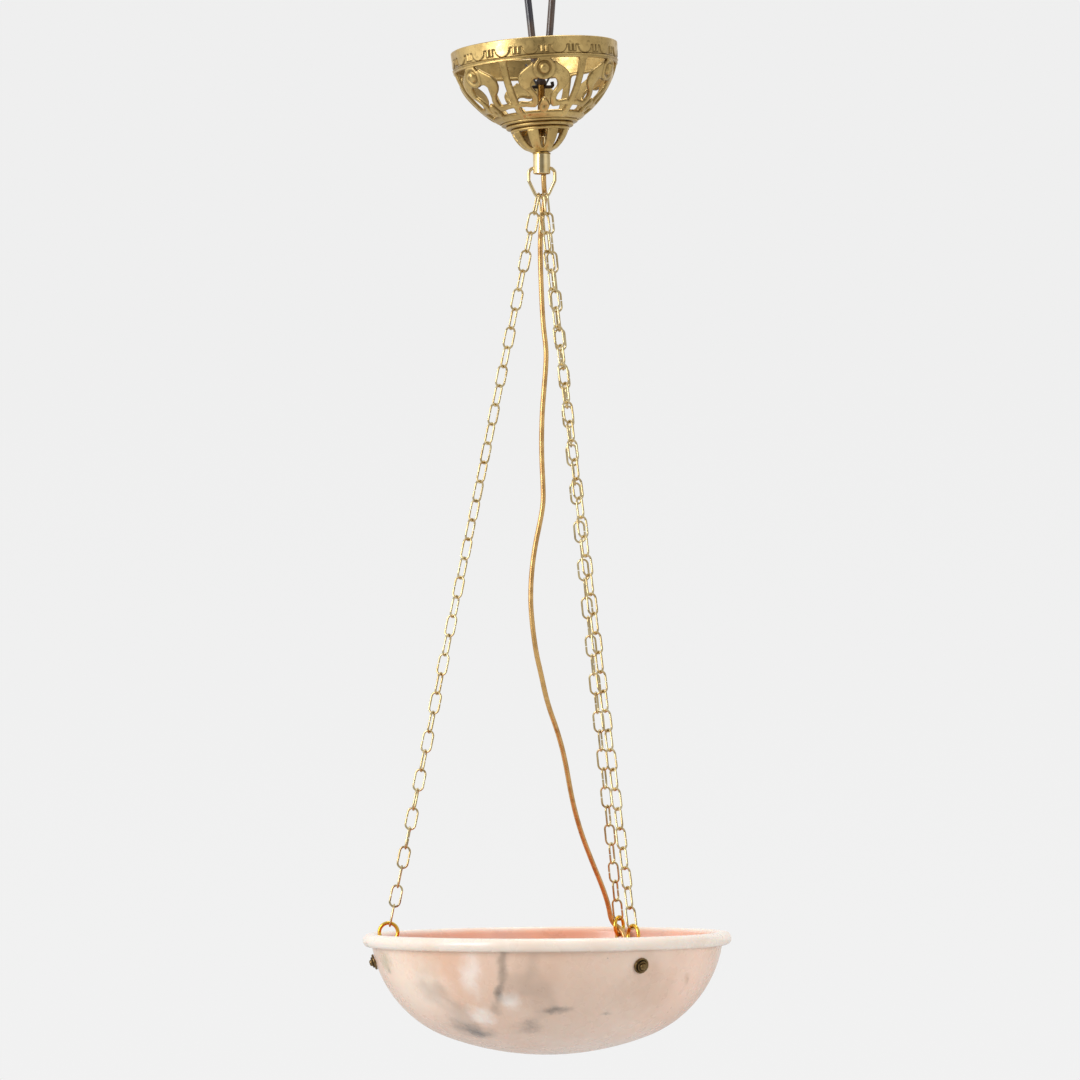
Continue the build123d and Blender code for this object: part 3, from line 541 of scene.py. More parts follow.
def make_canopy_cup():
    rows = cup_rows()
    step = 2 * pi / CUP_COLUMNS
    angle = np.arange(CUP_COLUMNS) * step
    metal, leaf, flower, boss, boss_middle, rib = cup_pattern(rows, step)
    distance = true_distance(metal, rows, step)
    deep = -rows[:, 1, None] + 0 * metal
    # the frieze, and the two beads with a groove between them under it
    frieze = frieze_field(deep, angle)
    in_frieze = deep < BAND
    groove = hump(deep - 17.0, 0.42)
    relief = -0.95 * smoothstep(frieze, -0.3, 0.5) * in_frieze
    relief += 0.35 * hump(deep - 15.9, 0.75) - 0.75 * groove + 0.85 * hump(deep - 18.3, 0.7)
    # the flower is a dished disc with a domed button, the boss a small dimpled dome
    disc = smoothstep(-flower, -9.7, -8.6)
    dish = 1.5 * disc - 1.15 * hump(flower - 5.3, 1.25) * disc
    button = np.sqrt(np.clip(1 - (flower / 4.5) ** 2, 0, 1)) * 2.4
    dimple = hump(flower, 0.9) * 0.5 * (flower < 4)
    leaf_crown = 0.85 * np.sqrt(np.clip(-leaf / 4.5, 0, 1)) * (1 - disc)
    boss_in = smoothstep(-boss, 0, 0.8)
    boss_rise = boss_in * (1.1 - 0.9 * hump(boss_middle, 1.15))
    rib_crown = 0.35 * smoothstep(-rib, 0.0, 1.6)
    below = smoothstep(deep, BAND_LINE - 0.4, BAND_LINE + 0.8)
    relief += 0.7 * np.sin(pi * np.clip((deep - DEPTH + FOOT_RING) / 5.4, 0, 1))
    relief += below * (dish + button - dimple + leaf_crown + boss_rise + rib_crown)
    edge = np.minimum(edge_profile(-distance, 1.15, 0.35), edge_profile(deep, 0.9, 0.25))
    thick = WALL * edge
    cast = wobble(3 * np.sin(angle)[None], 3 * np.cos(angle)[None], deep / 9)
    outer = -WALL / 2 + thick / 2 + relief * edge + 0.10 * cast
    inner = -WALL / 2 - thick / 2 + 0.12 * cast
    # painted shade, with some patina, darkens the grooves and the edges along the cuts
    shade_and_patina = 0.75 * hump(flower - 5.3, 1.0) * disc + 0.9 * hump(boss_middle, 1.3) * boss_in
    shade_and_patina += 0.5 * hump(flower - 9.9, 0.8) + 0.55 * smoothstep(distance, -1.5, -0.1)
    # painted shade also draws dark lines along the edges of the frieze's recesses and in the groove
    # under it
    tone = 0.95 * hump(frieze - 0.3, 0.5) * in_frieze + 0.5 * groove + below * shade_and_patina
    start = BAY_TURN - 180 / BAYS + degrees(step)
    # the inside face of the cup gets a little painted shade too
    return shell_mesh("canopy_cup_cast", rows + (0, RIM_Z), metal, outer, inner,
                      np.clip(tone, 0, 1), start, 0.25)


def make_canopy_rings():
    """The stepped beads under the cup."""
    high = RIM_Z - DEPTH
    profile = [(21.7, high - 9.15), (21.7, high + 1.2), (33.4, high + 1.3), (33.8, high + 0.5)]
    seams = []
    for radius, tall, bulge in BEADS:
        for s in range(9):
            a = pi * s / 8
            profile.append((
                radius - bulge + bulge * sin(a),
                high - tall * (0.5 - 0.5 * cos(a)) - (0.0 if s else 0.02),
            ))
        high -= tall
        seams.append(high)
        if len(seams) < len(BEADS):
            profile.append((radius - 2.9, high - 0.05))
    verts, faces = turned(profile, RING_SEGMENTS, lean_matrix)
    rings = mesh_piece("canopy_rings", verts, faces, slot="antique_brass", sharp=40)
    # painted shade in the seams between the beads
    dark = [0.5 * max(0.0, 1 - min(abs(z - seam) for seam in seams) / 0.5) for _, z in profile]
    point_values(rings, "tone", dark * RING_SEGMENTS)
    return rings


def make_finial():
    """The fluted cup under the beads, slotted between its ribs."""
    arc = arc_points(
        (FINIAL_TOP_R, ROCK_Z + FINIAL_TALL), (FINIAL_MID_R, ROCK_Z + FINIAL_MID),
        (FINIAL_LOW_R, ROCK_Z), 54,
    )
    rows = np.array(arc + [(FINIAL_LOW_R - 0.35 * s, ROCK_Z) for s in range(1, 5)])
    columns = 480
    step = 2 * pi / columns
    phi = np.arange(columns // (2 * FINIAL_SLOTS) + 1)[None] * step
    height = rows[:, 1, None] - ROCK_Z + 0 * phi
    tall = (height - SLOT_FOOT) / (SLOT_TOP - SLOT_FOOT)
    half_width = 4.4 * np.sign(tall) * np.abs(tall) ** 0.5
    slot = np.maximum(np.abs(rows[:, 0, None] * np.sin(phi)) - half_width, height - SLOT_TOP)
    field = all_round(-slot, FINIAL_SLOTS)
    distance = true_distance(field, rows, step)
    up = height[:, :1] + 0 * field
    wall = 2.4 + 0.9 * smoothstep(up, 3, 0)
    thick = wall * edge_profile(-distance, 1.1, 0.35)
    crown = np.sqrt(np.clip(-distance / 3.2, 0, 1)) * smoothstep(up, 0.5, 5.0)
    crown *= smoothstep(up, SLOT_TOP + 0.3, SLOT_TOP - 1.6)
    outer = -wall / 2 + thick / 2 + (crown - 0.15) * smoothstep(up, 0.2, 3)
    inner = -wall / 2 - thick / 2
    # painted shade: darker along the edges of the slots, and the inside face fully darkened
    tone = 0.3 * smoothstep(distance, -0.7, 0.0)
    start = BAY_TURN - 180 / FINIAL_SLOTS + degrees(step)
    return shell_mesh("canopy_finial_cast", rows, field, outer, inner, tone, start, 1.0)


cup = make_canopy_cup()
make_canopy_rings().parent = cup
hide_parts("canopy_cup")
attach(cup, "canopy")
finial = make_finial()
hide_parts("canopy_finial")
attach(finial, "canopy")


# ---------------------------------------------------------------- sleeve and loop
TUBE_HOLE_R, NECK_R, SLEEVE_R, BORE_R = 3.35, 5.6, 7.6, 6.75
NECK_TOP, NECK_LOW, BORE_TOP, SLEEVE_LOW = -156.2, -171.2, -175.4, -188.5
LOOP_HOLE_Z, LOOP_HOLE_R = -183.7, 1.75
LOOP_WIRE, LOOP_STEP = 3.0, 0.6  # its wire, and a step along its line


def make_sleeve():
    """The turned sleeve, with the cross hole that the main loop runs through."""
    corners = [
        (TUBE_HOLE_R, NECK_TOP), (NECK_R, NECK_TOP), (NECK_R, NECK_LOW), (SLEEVE_R, NECK_LOW),
        (SLEEVE_R, SLEEVE_LOW), (BORE_R, SLEEVE_LOW), (BORE_R, BORE_TOP), (TUBE_HOLE_R, BORE_TOP),
    ]
    radii = [0.2, 0.6, 0.3, 0.45, 0.45, 0.2, 0.5, 0.2]
    profile = rounded(corners, radii)
    piece = mesh_piece("sleeve_turned", *turned(profile, 96), slot="polished_brass", sharp=40)
    ends = [Vector((x, 0, LOOP_HOLE_Z)) * MM for x in (-20, 20)]
    cutter = tube_piece("cutter", ends, LOOP_HOLE_R * MM, sides=32)
    cut = piece.modifiers.new("hole", "BOOLEAN")
    cut.object = cutter
    cut.solver = "EXACT"
    bpy.context.view_layer.update()
    depsgraph = bpy.context.evaluated_depsgraph_get()
    done = bpy.data.meshes.new_from_object(piece.evaluated_get(depsgraph))
    piece.modifiers.clear()
    piece.data = done
    done.set_sharp_from_angle(angle=radians(40))
    bpy.data.objects.remove(cutter)
    return piece


def hull_line(circles, per_turn=14):
    """Points round the hull of discs (x, z, r) in the XZ plane, anticlockwise from the last."""
    def out_angle(one, two):
        (xa, za, ra), (xb, zb, rb) = one, two
        base = atan2(zb - za, xb - xa)
        return base - acos((ra - rb) / hypot(xb - xa, zb - za))

    n = len(circles)
    out = []
    for i in range(n):
        x, z, radius = circles[i]
        start = out_angle(circles[i - 1], circles[i])
        end = out_angle(circles[i], circles[(i + 1) % n])
        sweep = (end - start) % (2 * pi)
        for s in range(per_turn + 1):
            a = start + sweep * s / per_turn
            out.append(Vector((x + radius * cos(a), 0, z + radius * sin(a))) * MM)
    return out


def evenly(line, step):
    """Points at about one step along a closed line."""
    out = []
    for a, b in zip(line, line[1:] + line[:1]):
        count = max(1, round((b - a).length / step))
        out += [a.lerp(b, n / count) for n in range(count)]
    return out


sleeve = make_sleeve()
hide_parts("sleeve")
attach(sleeve, "suspension")
loop_line = hull_line([
    (0, -202.4, 7.0), (7.4, -193.6, 4.0), (6.6, -188.3, 4.8),
    (-6.6, -188.3, 4.8), (-7.4, -193.6, 4.0),
])
loop = tube_piece("main_loop_wire", evenly(loop_line, LOOP_STEP * MM), LOOP_WIRE / 2 * MM,
                  sides=20, closed=True, slot="polished_brass")
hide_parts("main_loop")
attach(loop, "loop")


# ---------------------------------------------------------------- chains and rings
def parts_of(node):
    """The loose parts of a CAD node's mesh, as arrays of points in mm."""
    mesh = frame["nodes"][node].data
    co = np.zeros(len(mesh.vertices) * 3)
    mesh.vertices.foreach_get("co", co)
    co = co.reshape(-1, 3) * 1000
    _, first, inverse = np.unique(np.round(co, 3), axis=0, return_index=True, return_inverse=True)
    inverse = inverse.ravel()
    edges = np.zeros(len(mesh.edges) * 2, int)
    mesh.edges.foreach_get("vertices", edges)
    edges = inverse[edges.reshape(-1, 2)]
    label = np.arange(len(first))
    while True:
        low = np.minimum(label[edges[:, 0]], label[edges[:, 1]])
        before = label.copy()
        np.minimum.at(label, edges[:, 0], low)
        np.minimum.at(label, edges[:, 1], low)
        label = label[label]
        if (label == before).all():
            break
    points = co[first]
    return [points[label == name] for name in np.unique(label)]


def axes_of(points):
    """Middle and main axes of a part, longest first."""
    middle = points.mean(0)
    _, _, axes = np.linalg.svd(points - middle, full_matrices=False)
    spans = (points - middle) @ axes.T
    middle = middle + ((spans.max(0) + spans.min(0)) / 2) @ axes
    return middle, axes, (spans.max(0) - spans.min(0))


ANGLES = {"left": -88.0, "front": 32.0, "back": 152.0}   # degrees from the front to +X
LINK_WIRE = 1.85
LINK_GAP = 0.32               # half the open joint of a link
RING_WIRE = 3.2


def link_line(length, width, per_turn=12):
    """Centre line of a link of outside length and width, with its open joint at +y."""
    bend = (width - LINK_WIRE) / 2
    half = (length - LINK_WIRE) / 2 - bend
    out = [(LINK_GAP, bend), (half * 0.5, bend)]
    for hand in (1, -1):
        for s in range(per_turn + 1):
            a = pi / 2 - pi * s / per_turn
            out.append((hand * (half + bend * cos(a)), hand * bend * sin(a)))
        if hand == 1:
            out.append((0, -bend))
    return out + [(-half * 0.5, bend), (-LINK_GAP, bend)]


def make_chain(side):
    """A link of round wire on each link of the CAD chain, its open joint where that has it."""
    verts, faces = [], []
    for points in parts_of("chain_" + side):
        middle, (along, across, _), (length, width, _) = axes_of(points)
        local = (points - middle) @ np.stack([along, across], 1)
        near = np.abs(local[:, 0]) < 1.2
        if near.any() and local[near, 1].mean() < 0:
            across = -across
        flat = Vector(np.cross(along, across))
        line = [
            Vector(middle + along * x + across * y) * MM for x, y in link_line(length, width)
        ]
        tube_verts, tube_faces = sweep_tube(line, LINK_WIRE / 2 * MM, sides=12, start_normal=flat)
        base = len(verts)
        verts += tube_verts
        faces += [tuple(v + base for v in f) for f in tube_faces]
    piece = mesh_piece("chain_links_" + side, verts, faces, slot="chain_brass", sharp=60)
    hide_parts("chain_" + side)
    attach(piece, "pendant")
    return piece


def make_ring(side):
    middle, axes, spans = axes_of(parts_of("ring_" + side)[0])
    u, v = Vector(axes[0]), Vector(axes[1])
    radius = (max(spans[:2]) - RING_WIRE) / 2
    line = [
        (Vector(middle) + (u * cos(a) + v * sin(a)) * radius) * MM
        for a in (2 * pi * k / 72 for k in range(72))
    ]
    piece = tube_piece("ring_wire_" + side, line, RING_WIRE / 2 * MM, sides=20, closed=True,
                       slot="bright_brass")
    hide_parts("ring_" + side)
    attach(piece, "pendant")
    return piece


chains = [make_chain(side) for side in ANGLES]
rings = [make_ring(side) for side in ANGLES]


# ---------------------------------------------------------------- bowl
BOTTOM_Z = -954.5
FLOOR_R, SIDE_R, TURN = 248.0, 102.4, 20.5   # the section's two arcs, and where they meet
BOWL_WALL = 6.5
BOWL_SEGMENTS = 320
LIP_R, LIP_IN = 160.0, 149.4
LIP_ROUND, LIP_EDGE = 5.4, 2.2
LIP_LOW, LIP_TOP = BOTTOM_Z + 94.0, BOTTOM_Z + 105.3
INNER_TOP = LIP_TOP - 3.6     # where the inside meets the lip
floor_c = (0.0, BOTTOM_Z + FLOOR_R)
side_c = (
    (FLOOR_R - SIDE_R) * sin(radians(TURN)), floor_c[1] - (FLOOR_R - SIDE_R) * cos(radians(TURN)),
)


def side_reach(height, wall=0.0):
    """Radius of the bowl's side at a height, or of its inside with the wall taken off."""
    return side_c[0] + sqrt((SIDE_R - wall) ** 2 - (height - side_c[1]) ** 2)


def bowl_profile():
    """The bowl's section from the middle of its outside, over the lip, to the inside."""
    t = radians(TURN)

    def floor(radius, a):
        return (radius * sin(a), floor_c[1] - radius * cos(a))

    out = [floor(FLOOR_R, t * i / 26) for i in range(27)]
    turn_z, neck = out[-1][1], side_reach(LIP_LOW)
    mid = (turn_z + LIP_LOW) / 2
    out += arc_points(out[-1], (side_reach(mid), mid), (neck, LIP_LOW), 54)[1:]
    start = (side_reach(INNER_TOP, BOWL_WALL), INNER_TOP)
    tall = (LIP_TOP - LIP_LOW) / 2
    out += [(neck + 0.35, LIP_LOW + 0.02), (neck + 1.4, LIP_LOW)]
    out += [
        (LIP_R - LIP_ROUND + LIP_ROUND * cos(a), LIP_LOW + tall + tall * sin(a))
        for a in np.linspace(-pi / 2, pi / 2, 23)
    ]
    out += rounded([out[-1], (LIP_IN, LIP_TOP), start], [0, LIP_EDGE, 0], steps=6)[1:-1]
    turn_in = floor(FLOOR_R - BOWL_WALL, t)
    mid = (turn_in[1] + INNER_TOP) / 2
    out += arc_points(start, (side_reach(mid, BOWL_WALL), mid), turn_in, 54)
    out += [floor(FLOOR_R - BOWL_WALL, t * (1 - i / 24)) for i in range(1, 25)]
    return out


def make_bowl():
    """The bowl, with the faint unevenness of stone turned and polished by hand."""
    profile = bowl_profile()
    n = len(profile)
    verts, faces = [], []
    for k in range(BOWL_SEGMENTS):
        a = 2 * pi * k / BOWL_SEGMENTS
        for i, (r, z) in enumerate(profile):
            swell = 0.16 * sin(3 * a + 0.9) + 0.06 * sin(7 * a + z * 0.05)
            lift = 0.16 * sin(2 * a + 0.4) + 0.05 * sin(5 * a + 2.1)
            share = min(1.0, r / 60)
            reach = r + swell * share * 0.6
            verts.append(Vector((reach * cos(a), reach * sin(a), z + lift * share * 0.5)) * MM)
    low, high = len(verts), len(verts) + 1
    verts += [Vector((0, 0, profile[0][1])) * MM, Vector((0, 0, profile[-1][1])) * MM]
    for k in range(BOWL_SEGMENTS):
        m = (k + 1) % BOWL_SEGMENTS
        for i in range(1, n - 2):
            faces.append((k * n + i, m * n + i, m * n + i + 1, k * n + i + 1))
        faces.append((low, m * n + 1, k * n + 1))
        faces.append((high, k * n + n - 2, m * n + n - 2))
    piece = mesh_piece("bowl_stone", verts, faces, slot="alabaster")
    bm = bmesh.new()
    bm.from_mesh(piece.data)
    bmesh.ops.delete(bm, geom=[v for v in bm.verts if not v.link_faces], context="VERTS")
    bmesh.ops.recalc_face_normals(bm, faces=bm.faces)
    bm.to_mesh(piece.data)
    bm.free()
    values = []
    for v in piece.data.vertices:
        r, z = hypot(v.co.x, v.co.y) / MM, v.co.z / MM
        if z > LIP_LOW - 2:
            deep_in = (side_reach(min(z, LIP_TOP - 0.1), BOWL_WALL) + 1.5 - r) / 3.0
        elif r > FLOOR_R * sin(radians(TURN)):
            deep_in = (SIDE_R - BOWL_WALL / 2 - hypot(r - side_c[0], z - side_c[1])) / 1.5
        else:
            deep_in = (FLOOR_R - BOWL_WALL / 2 - hypot(r, z - floor_c[1])) / 1.5
        values.append(min(1.0, max(0.0, deep_in)))
    point_values(piece, "inside", values)
    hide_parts("bowl")
    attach(piece, "pendant")
    return piece


bowl = make_bowl()


# ---------------------------------------------------------------- rosettes
BOLT_Z = BOTTOM_Z + 82.2
ROSETTE_SEGMENTS, ROSETTE_GROOVE_R = 96, 4.85


def bolt_place(angle, out):
    """Where a bolt's axis is, a distance outside the middle of the wall."""
    fall = asin((side_c[1] - BOLT_Z) / (SIDE_R - BOWL_WALL / 2))
    reach = SIDE_R - BOWL_WALL / 2 + out
    r = side_c[0] + reach * cos(fall)
    z = side_c[1] - reach * sin(fall)
    away = Vector((sin(radians(angle)), -cos(radians(angle)), 0))
    normal = away * cos(fall) + Vector((0, 0, -sin(fall)))
    side = Vector((0, 0, 1)).cross(away)
    up = normal.cross(side)
    turn = Matrix((side, up, normal)).transposed().to_4x4()
    return Matrix.Translation(away * r + Vector((0, 0, z))) @ turn


def make_rosette(side):
    """A stepped disc with a ring of small petals round the bolt's head."""
    place = bolt_place(ANGLES[side], BOWL_WALL / 2 + 0.05)
    profile = [(2.1, 0), (6.75, 0), (6.85, 0.5)]
    profile += [(5.9 + 0.95 * cos(a), 0.95 + 0.95 * sin(a)) for a in np.linspace(0.0, pi * 0.92, 9)]
    profile += [(ROSETTE_GROOVE_R, 1.25)]
    profile += [
        (3.95 + 0.85 * cos(a), 2.55 + 0.85 * sin(a)) for a in np.linspace(-0.6, pi * 0.9, 10)
    ]
    profile += [(3.0, 3.0), (2.1, 3.0)]

    def petals(a, r, z):
        if 5.0 < r < 7.0 and 0.4 < z < 2.0:
            return (0.0, 0.22 * (abs(cos(6 * a)) - 0.6))
        return (0.0, 0.0)

    verts, faces = turned(profile, ROSETTE_SEGMENTS, place, petals)
    piece = mesh_piece("rosette_boss_" + side, verts, faces, slot="antique_brass", sharp=55)
    # painted shade in the groove and round the bolt's head; the rest a little darker
    dark = [
        0.85 if abs(r - ROSETTE_GROOVE_R) < 0.25 or r < 3.1 else 0.25 for r, _ in profile
    ]
    point_values(piece, "tone", dark * ROSETTE_SEGMENTS)
    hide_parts("rosette_" + side)
    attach(piece, "pendant")
    return piece


rosettes = [make_rosette(side) for side in ANGLES]
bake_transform(flex)


# ---------------------------------------------------------------- materials
def srgb(r, g, b):
    def f(c):
        c /= 255
        return c / 12.92 if c <= 0.04045 else ((c + 0.055) / 1.055) ** 2.4
    return (f(r), f(g), f(b), 1)


class Nodes:
    """Short names for the nodes of a material or world."""

    def __init__(self, owner):
        owner.use_nodes = True
        self.tree = owner.node_tree
        self.tree.nodes.clear()

    def put(self, socket, value):
        if hasattr(value, "links"):
            self.tree.links.new(value, socket)
        else:
            socket.default_value = value

    def make(self, kind, inputs, out=None, **settings):
        """A node with its inputs set or linked: the node, or its output."""
        node = self.tree.nodes.new("ShaderNode" + kind)
        for name, value in settings.items():
            setattr(node, name, value)
        for socket, value in inputs.items():
            self.put(node.inputs[socket], value)
        return node if out is None else node.outputs[out]

    def vector(self, kind, a, b=None, scale=None):
        inputs = {0: a, 1: b, "Scale": scale}
        inputs = {socket: value for socket, value in inputs.items() if value is not None}
        return self.make("VectorMath", inputs, 1 if kind == "LENGTH" else 0, operation=kind)

    def math(self, kind, a, b=0.0):
        return self.make("Math", {0: a, 1: b}, 0, operation=kind)

    def ramp(self, value, low, high, to_low=0.0, to_high=1.0, smooth=True):
        return self.make("MapRange", {
            "Value": value, "From Min": low, "From Max": high, "To Min": to_low, "To Max": to_high,
        }, "Result", interpolation_type="SMOOTHSTEP" if smooth else "LINEAR")

    def mix(self, share, a, b):
        return self.make("Mix", {0: share, 6: a, 7: b}, 2, data_type="RGBA")

    def split(self, vector):
        return self.make("SeparateXYZ", {0: vector}).outputs


class Maker(Nodes):
    """A node material round one principled shader."""

    def __init__(self, name):
        self.material = bpy.data.materials.new(name)
        super().__init__(self.material)
        self.shader = self.make("BsdfPrincipled", {})
        self.make("OutputMaterial", {0: self.shader.outputs[0]})
        self.coords = self.make("TexCoord", {}, "Object")

    def set(self, socket, value):
        self.put(self.shader.inputs[socket], value)
        return self

    def noise(self, scale, detail=4, rough=0.55, coords=None, distortion=0.0, out="Fac", seed=0.0):
        source = coords or self.coords
        if seed:
            source = self.vector("ADD", source, (seed, seed * 0.7, -seed))
        return self.make("TexNoise", {
            "Vector": source, "Scale": scale, "Detail": detail, "Roughness": rough,
            "Distortion": distortion,
        }, out)

    def attribute(self, name):
        return self.make("Attribute", {}, "Fac", attribute_name=name)

    def bump(self, height, strength, distance):
        return self.set("Normal", self.make(
            "Bump", {"Strength": strength, "Distance": distance, "Height": height}, 0,
        ))


def cast_brass(name, bright, dull, dark, rough=(0.24, 0.46), with_painted_shade=True):
    m = Maker(name)
    blotch = m.ramp(m.noise(38, 5, 0.6), 0.38, 0.66)
    base = m.mix(blotch, bright, dull)
    fine = m.ramp(m.noise(260, 4, 0.65), 0.52, 0.74)
    base = m.mix(m.math("MULTIPLY", fine, 0.45), base, dark)
    pits = m.ramp(m.noise(520, 2, 0.5, seed=3.1), 0.70, 0.76)
    spots = m.math("MULTIPLY", pits, m.ramp(m.noise(60, 2, 0.5, seed=1.7), 0.5, 0.65))
    base = m.mix(m.math("MULTIPLY", spots, 0.7), base, dark)
    # the tone attribute paints shade into the grooves, seams and cuts
    if with_painted_shade:
        base = m.mix(m.math("MULTIPLY", m.attribute("tone"), 0.85), base, dark)
    m.set("Base Color", base).set("Metallic", 1.0)
    m.set("Roughness", m.ramp(m.noise(90, 4, 0.6, seed=5.0), 0.3, 0.7, rough[0], rough[1]))
    m.bump(m.noise(420, 5, 0.6, seed=2.0), 0.22, 0.0006)
    return m.material


def polished_brass(name, colour, tint, rough):
    m = Maker(name)
    cloud = m.ramp(m.noise(120, 4, 0.6), 0.4, 0.7)
    m.set("Base Color", m.mix(cloud, colour, tint)).set("Metallic", 1.0)
    m.set("Roughness", m.ramp(m.noise(150, 3, 0.5, seed=1.0), 0.3, 0.7, rough * 0.85, rough * 1.25))
    m.bump(m.noise(260, 2, 0.5, seed=2.0), 0.015, 0.0003)
    return m.material


def chain_brass():
    m = Maker("chain_antique_brass")
    hue = m.ramp(m.noise(60, 3, 0.5, seed=4.0), 0.36, 0.64)
    base = m.mix(hue, srgb(222, 204, 158), srgb(202, 176, 124))
    grey = m.ramp(m.noise(90, 3, 0.5, seed=8.0), 0.54, 0.72)
    base = m.mix(m.math("MULTIPLY", grey, 0.5), base, srgb(150, 150, 132))
    worn = m.ramp(m.noise(160, 3, 0.6, seed=6.0), 0.56, 0.72)
    base = m.mix(m.math("MULTIPLY", worn, 0.4), base, srgb(120, 92, 60))
    m.set("Base Color", base).set("Metallic", 1.0)
    m.set("Roughness", m.ramp(m.noise(120, 3, 0.5), 0.35, 0.7, 0.1, 0.22))
    m.bump(m.noise(400, 3, 0.5, seed=2.0), 0.03, 0.0003)
    return m.material


def on_bowl(px, py):
    """A point on the outside of the bowl, from its place in the picture."""
    x, z = (px - AXIS_PX) * PIXEL, -(py - HOOK_PY) * PIXEL
    if z > LIP_LOW:
        r = LIP_R
    elif z > BOTTOM_Z + 15.8:
        r = side_reach(z)
    else:
        r = sqrt(max(FLOOR_R**2 - (floor_c[1] - z) ** 2, 1))
    return (x * MM, -sqrt(max(r * r - x * x, 1)) * MM, z * MM)


SMOKE, ASH, WHITE = srgb(160, 140, 124), srgb(122, 110, 102), srgb(246, 238, 230)
OLIVE = srgb(112, 100, 78)
# broad tones: place in the picture, radius, colour, share and stretch
TONES = {
    "brown_middle": ((560, 985), 0.105, srgb(210, 180, 158), 0.6, (1.0, 1, 0.9)),
    "cream_left": ((410, 975), 0.055, srgb(242, 224, 206), 0.75, (1.1, 1, 1.0)),
    "pink_right": ((690, 975), 0.045, srgb(244, 214, 194), 0.7, (1.0, 1, 1.2)),
}
# marks with a ragged outline: the same, with grain and raggedness, stretch, and a seed
MARKS = {
    "left_shadow": ((388, 957), 0.022, srgb(190, 178, 150), 0.7, 60, 1.5, (1.1, 1, 0.7), 1.0),
    "left_cloud": ((430, 968), 0.030, srgb(200, 184, 164), 0.4, 60, 1.8, (0.6, 1, 1.3), 2.0),
    "middle_cloud": ((530, 975), 0.040, srgb(196, 166, 146), 0.35, 40, 1.6, (1.0, 1, 1.0), 3.0),
    "right_cloud": ((645, 985), 0.050, srgb(200, 166, 142), 0.4, 40, 1.6, (1.2, 1, 0.9), 4.0),
    "vein_top": ((506, 946), 0.020, SMOKE, 0.6, 80, 0.8, (0.36, 1, 1.2), 5.0),
    "vein_upper": ((503, 962), 0.024, SMOKE, 0.85, 90, 0.9, (0.30, 1, 1.2), 6.0),
    "vein_knot": ((501, 984), 0.017, ASH, 0.95, 110, 1.0, (0.36, 1, 1.1), 7.0),
    "vein_tail": ((497, 999), 0.016, SMOKE, 0.55, 90, 1.2, (0.7, 1, 0.8), 8.0),
    "low_smudge": ((474, 1024), 0.026, ASH, 1.0, 90, 1.0, (1.3, 1, 0.62), 9.0),
    "low_smoke": ((462, 1015), 0.022, SMOKE, 0.5, 90, 1.2, (1.3, 1, 0.5), 10.0),
    "low_crystal": ((481, 1008), 0.020, WHITE, 0.85, 90, 1.3, (1.1, 1, 0.8), 11.0),
    "vein_crystal": ((512, 992), 0.016, WHITE, 0.85, 90, 0.9, (0.9, 1, 1.2), 12.0),
    "tall_crystal": ((474, 968), 0.026, WHITE, 0.7, 70, 1.2, (0.6, 1, 1.5), 13.0),
    "pale_left": ((436, 985), 0.040, srgb(244, 228, 212), 0.6, 50, 1.3, (0.9, 1, 1.0), 20.0),
    "pale_low": ((456, 1008), 0.030, srgb(238, 218, 202), 0.5, 60, 1.4, (1.0, 1, 0.7), 21.0),
    "middle_streak": ((555, 1001), 0.014, ASH, 0.8, 130, 1.2, (1.5, 1, 0.42), 14.0),
    "middle_spot": ((531, 1019), 0.018, ASH, 0.55, 110, 1.5, (0.9, 1, 1.2), 15.0),
    "right_fleck": ((602, 1008), 0.006, ASH, 0.8, 150, 0.6, (1.5, 1, 0.5), 16.0),
    "edge_fleck": ((391, 965), 0.006, OLIVE, 0.8, 150, 0.6, (0.6, 1, 1.3), 17.0),
    "edge_fleck_low": ((385, 984), 0.006, OLIVE, 0.6, 150, 0.6, (0.8, 1, 0.9), 18.0),
    "right_streak": ((683, 977), 0.010, srgb(176, 140, 112), 0.6, 120, 1.2, (0.5, 1, 1.6), 19.0),
}


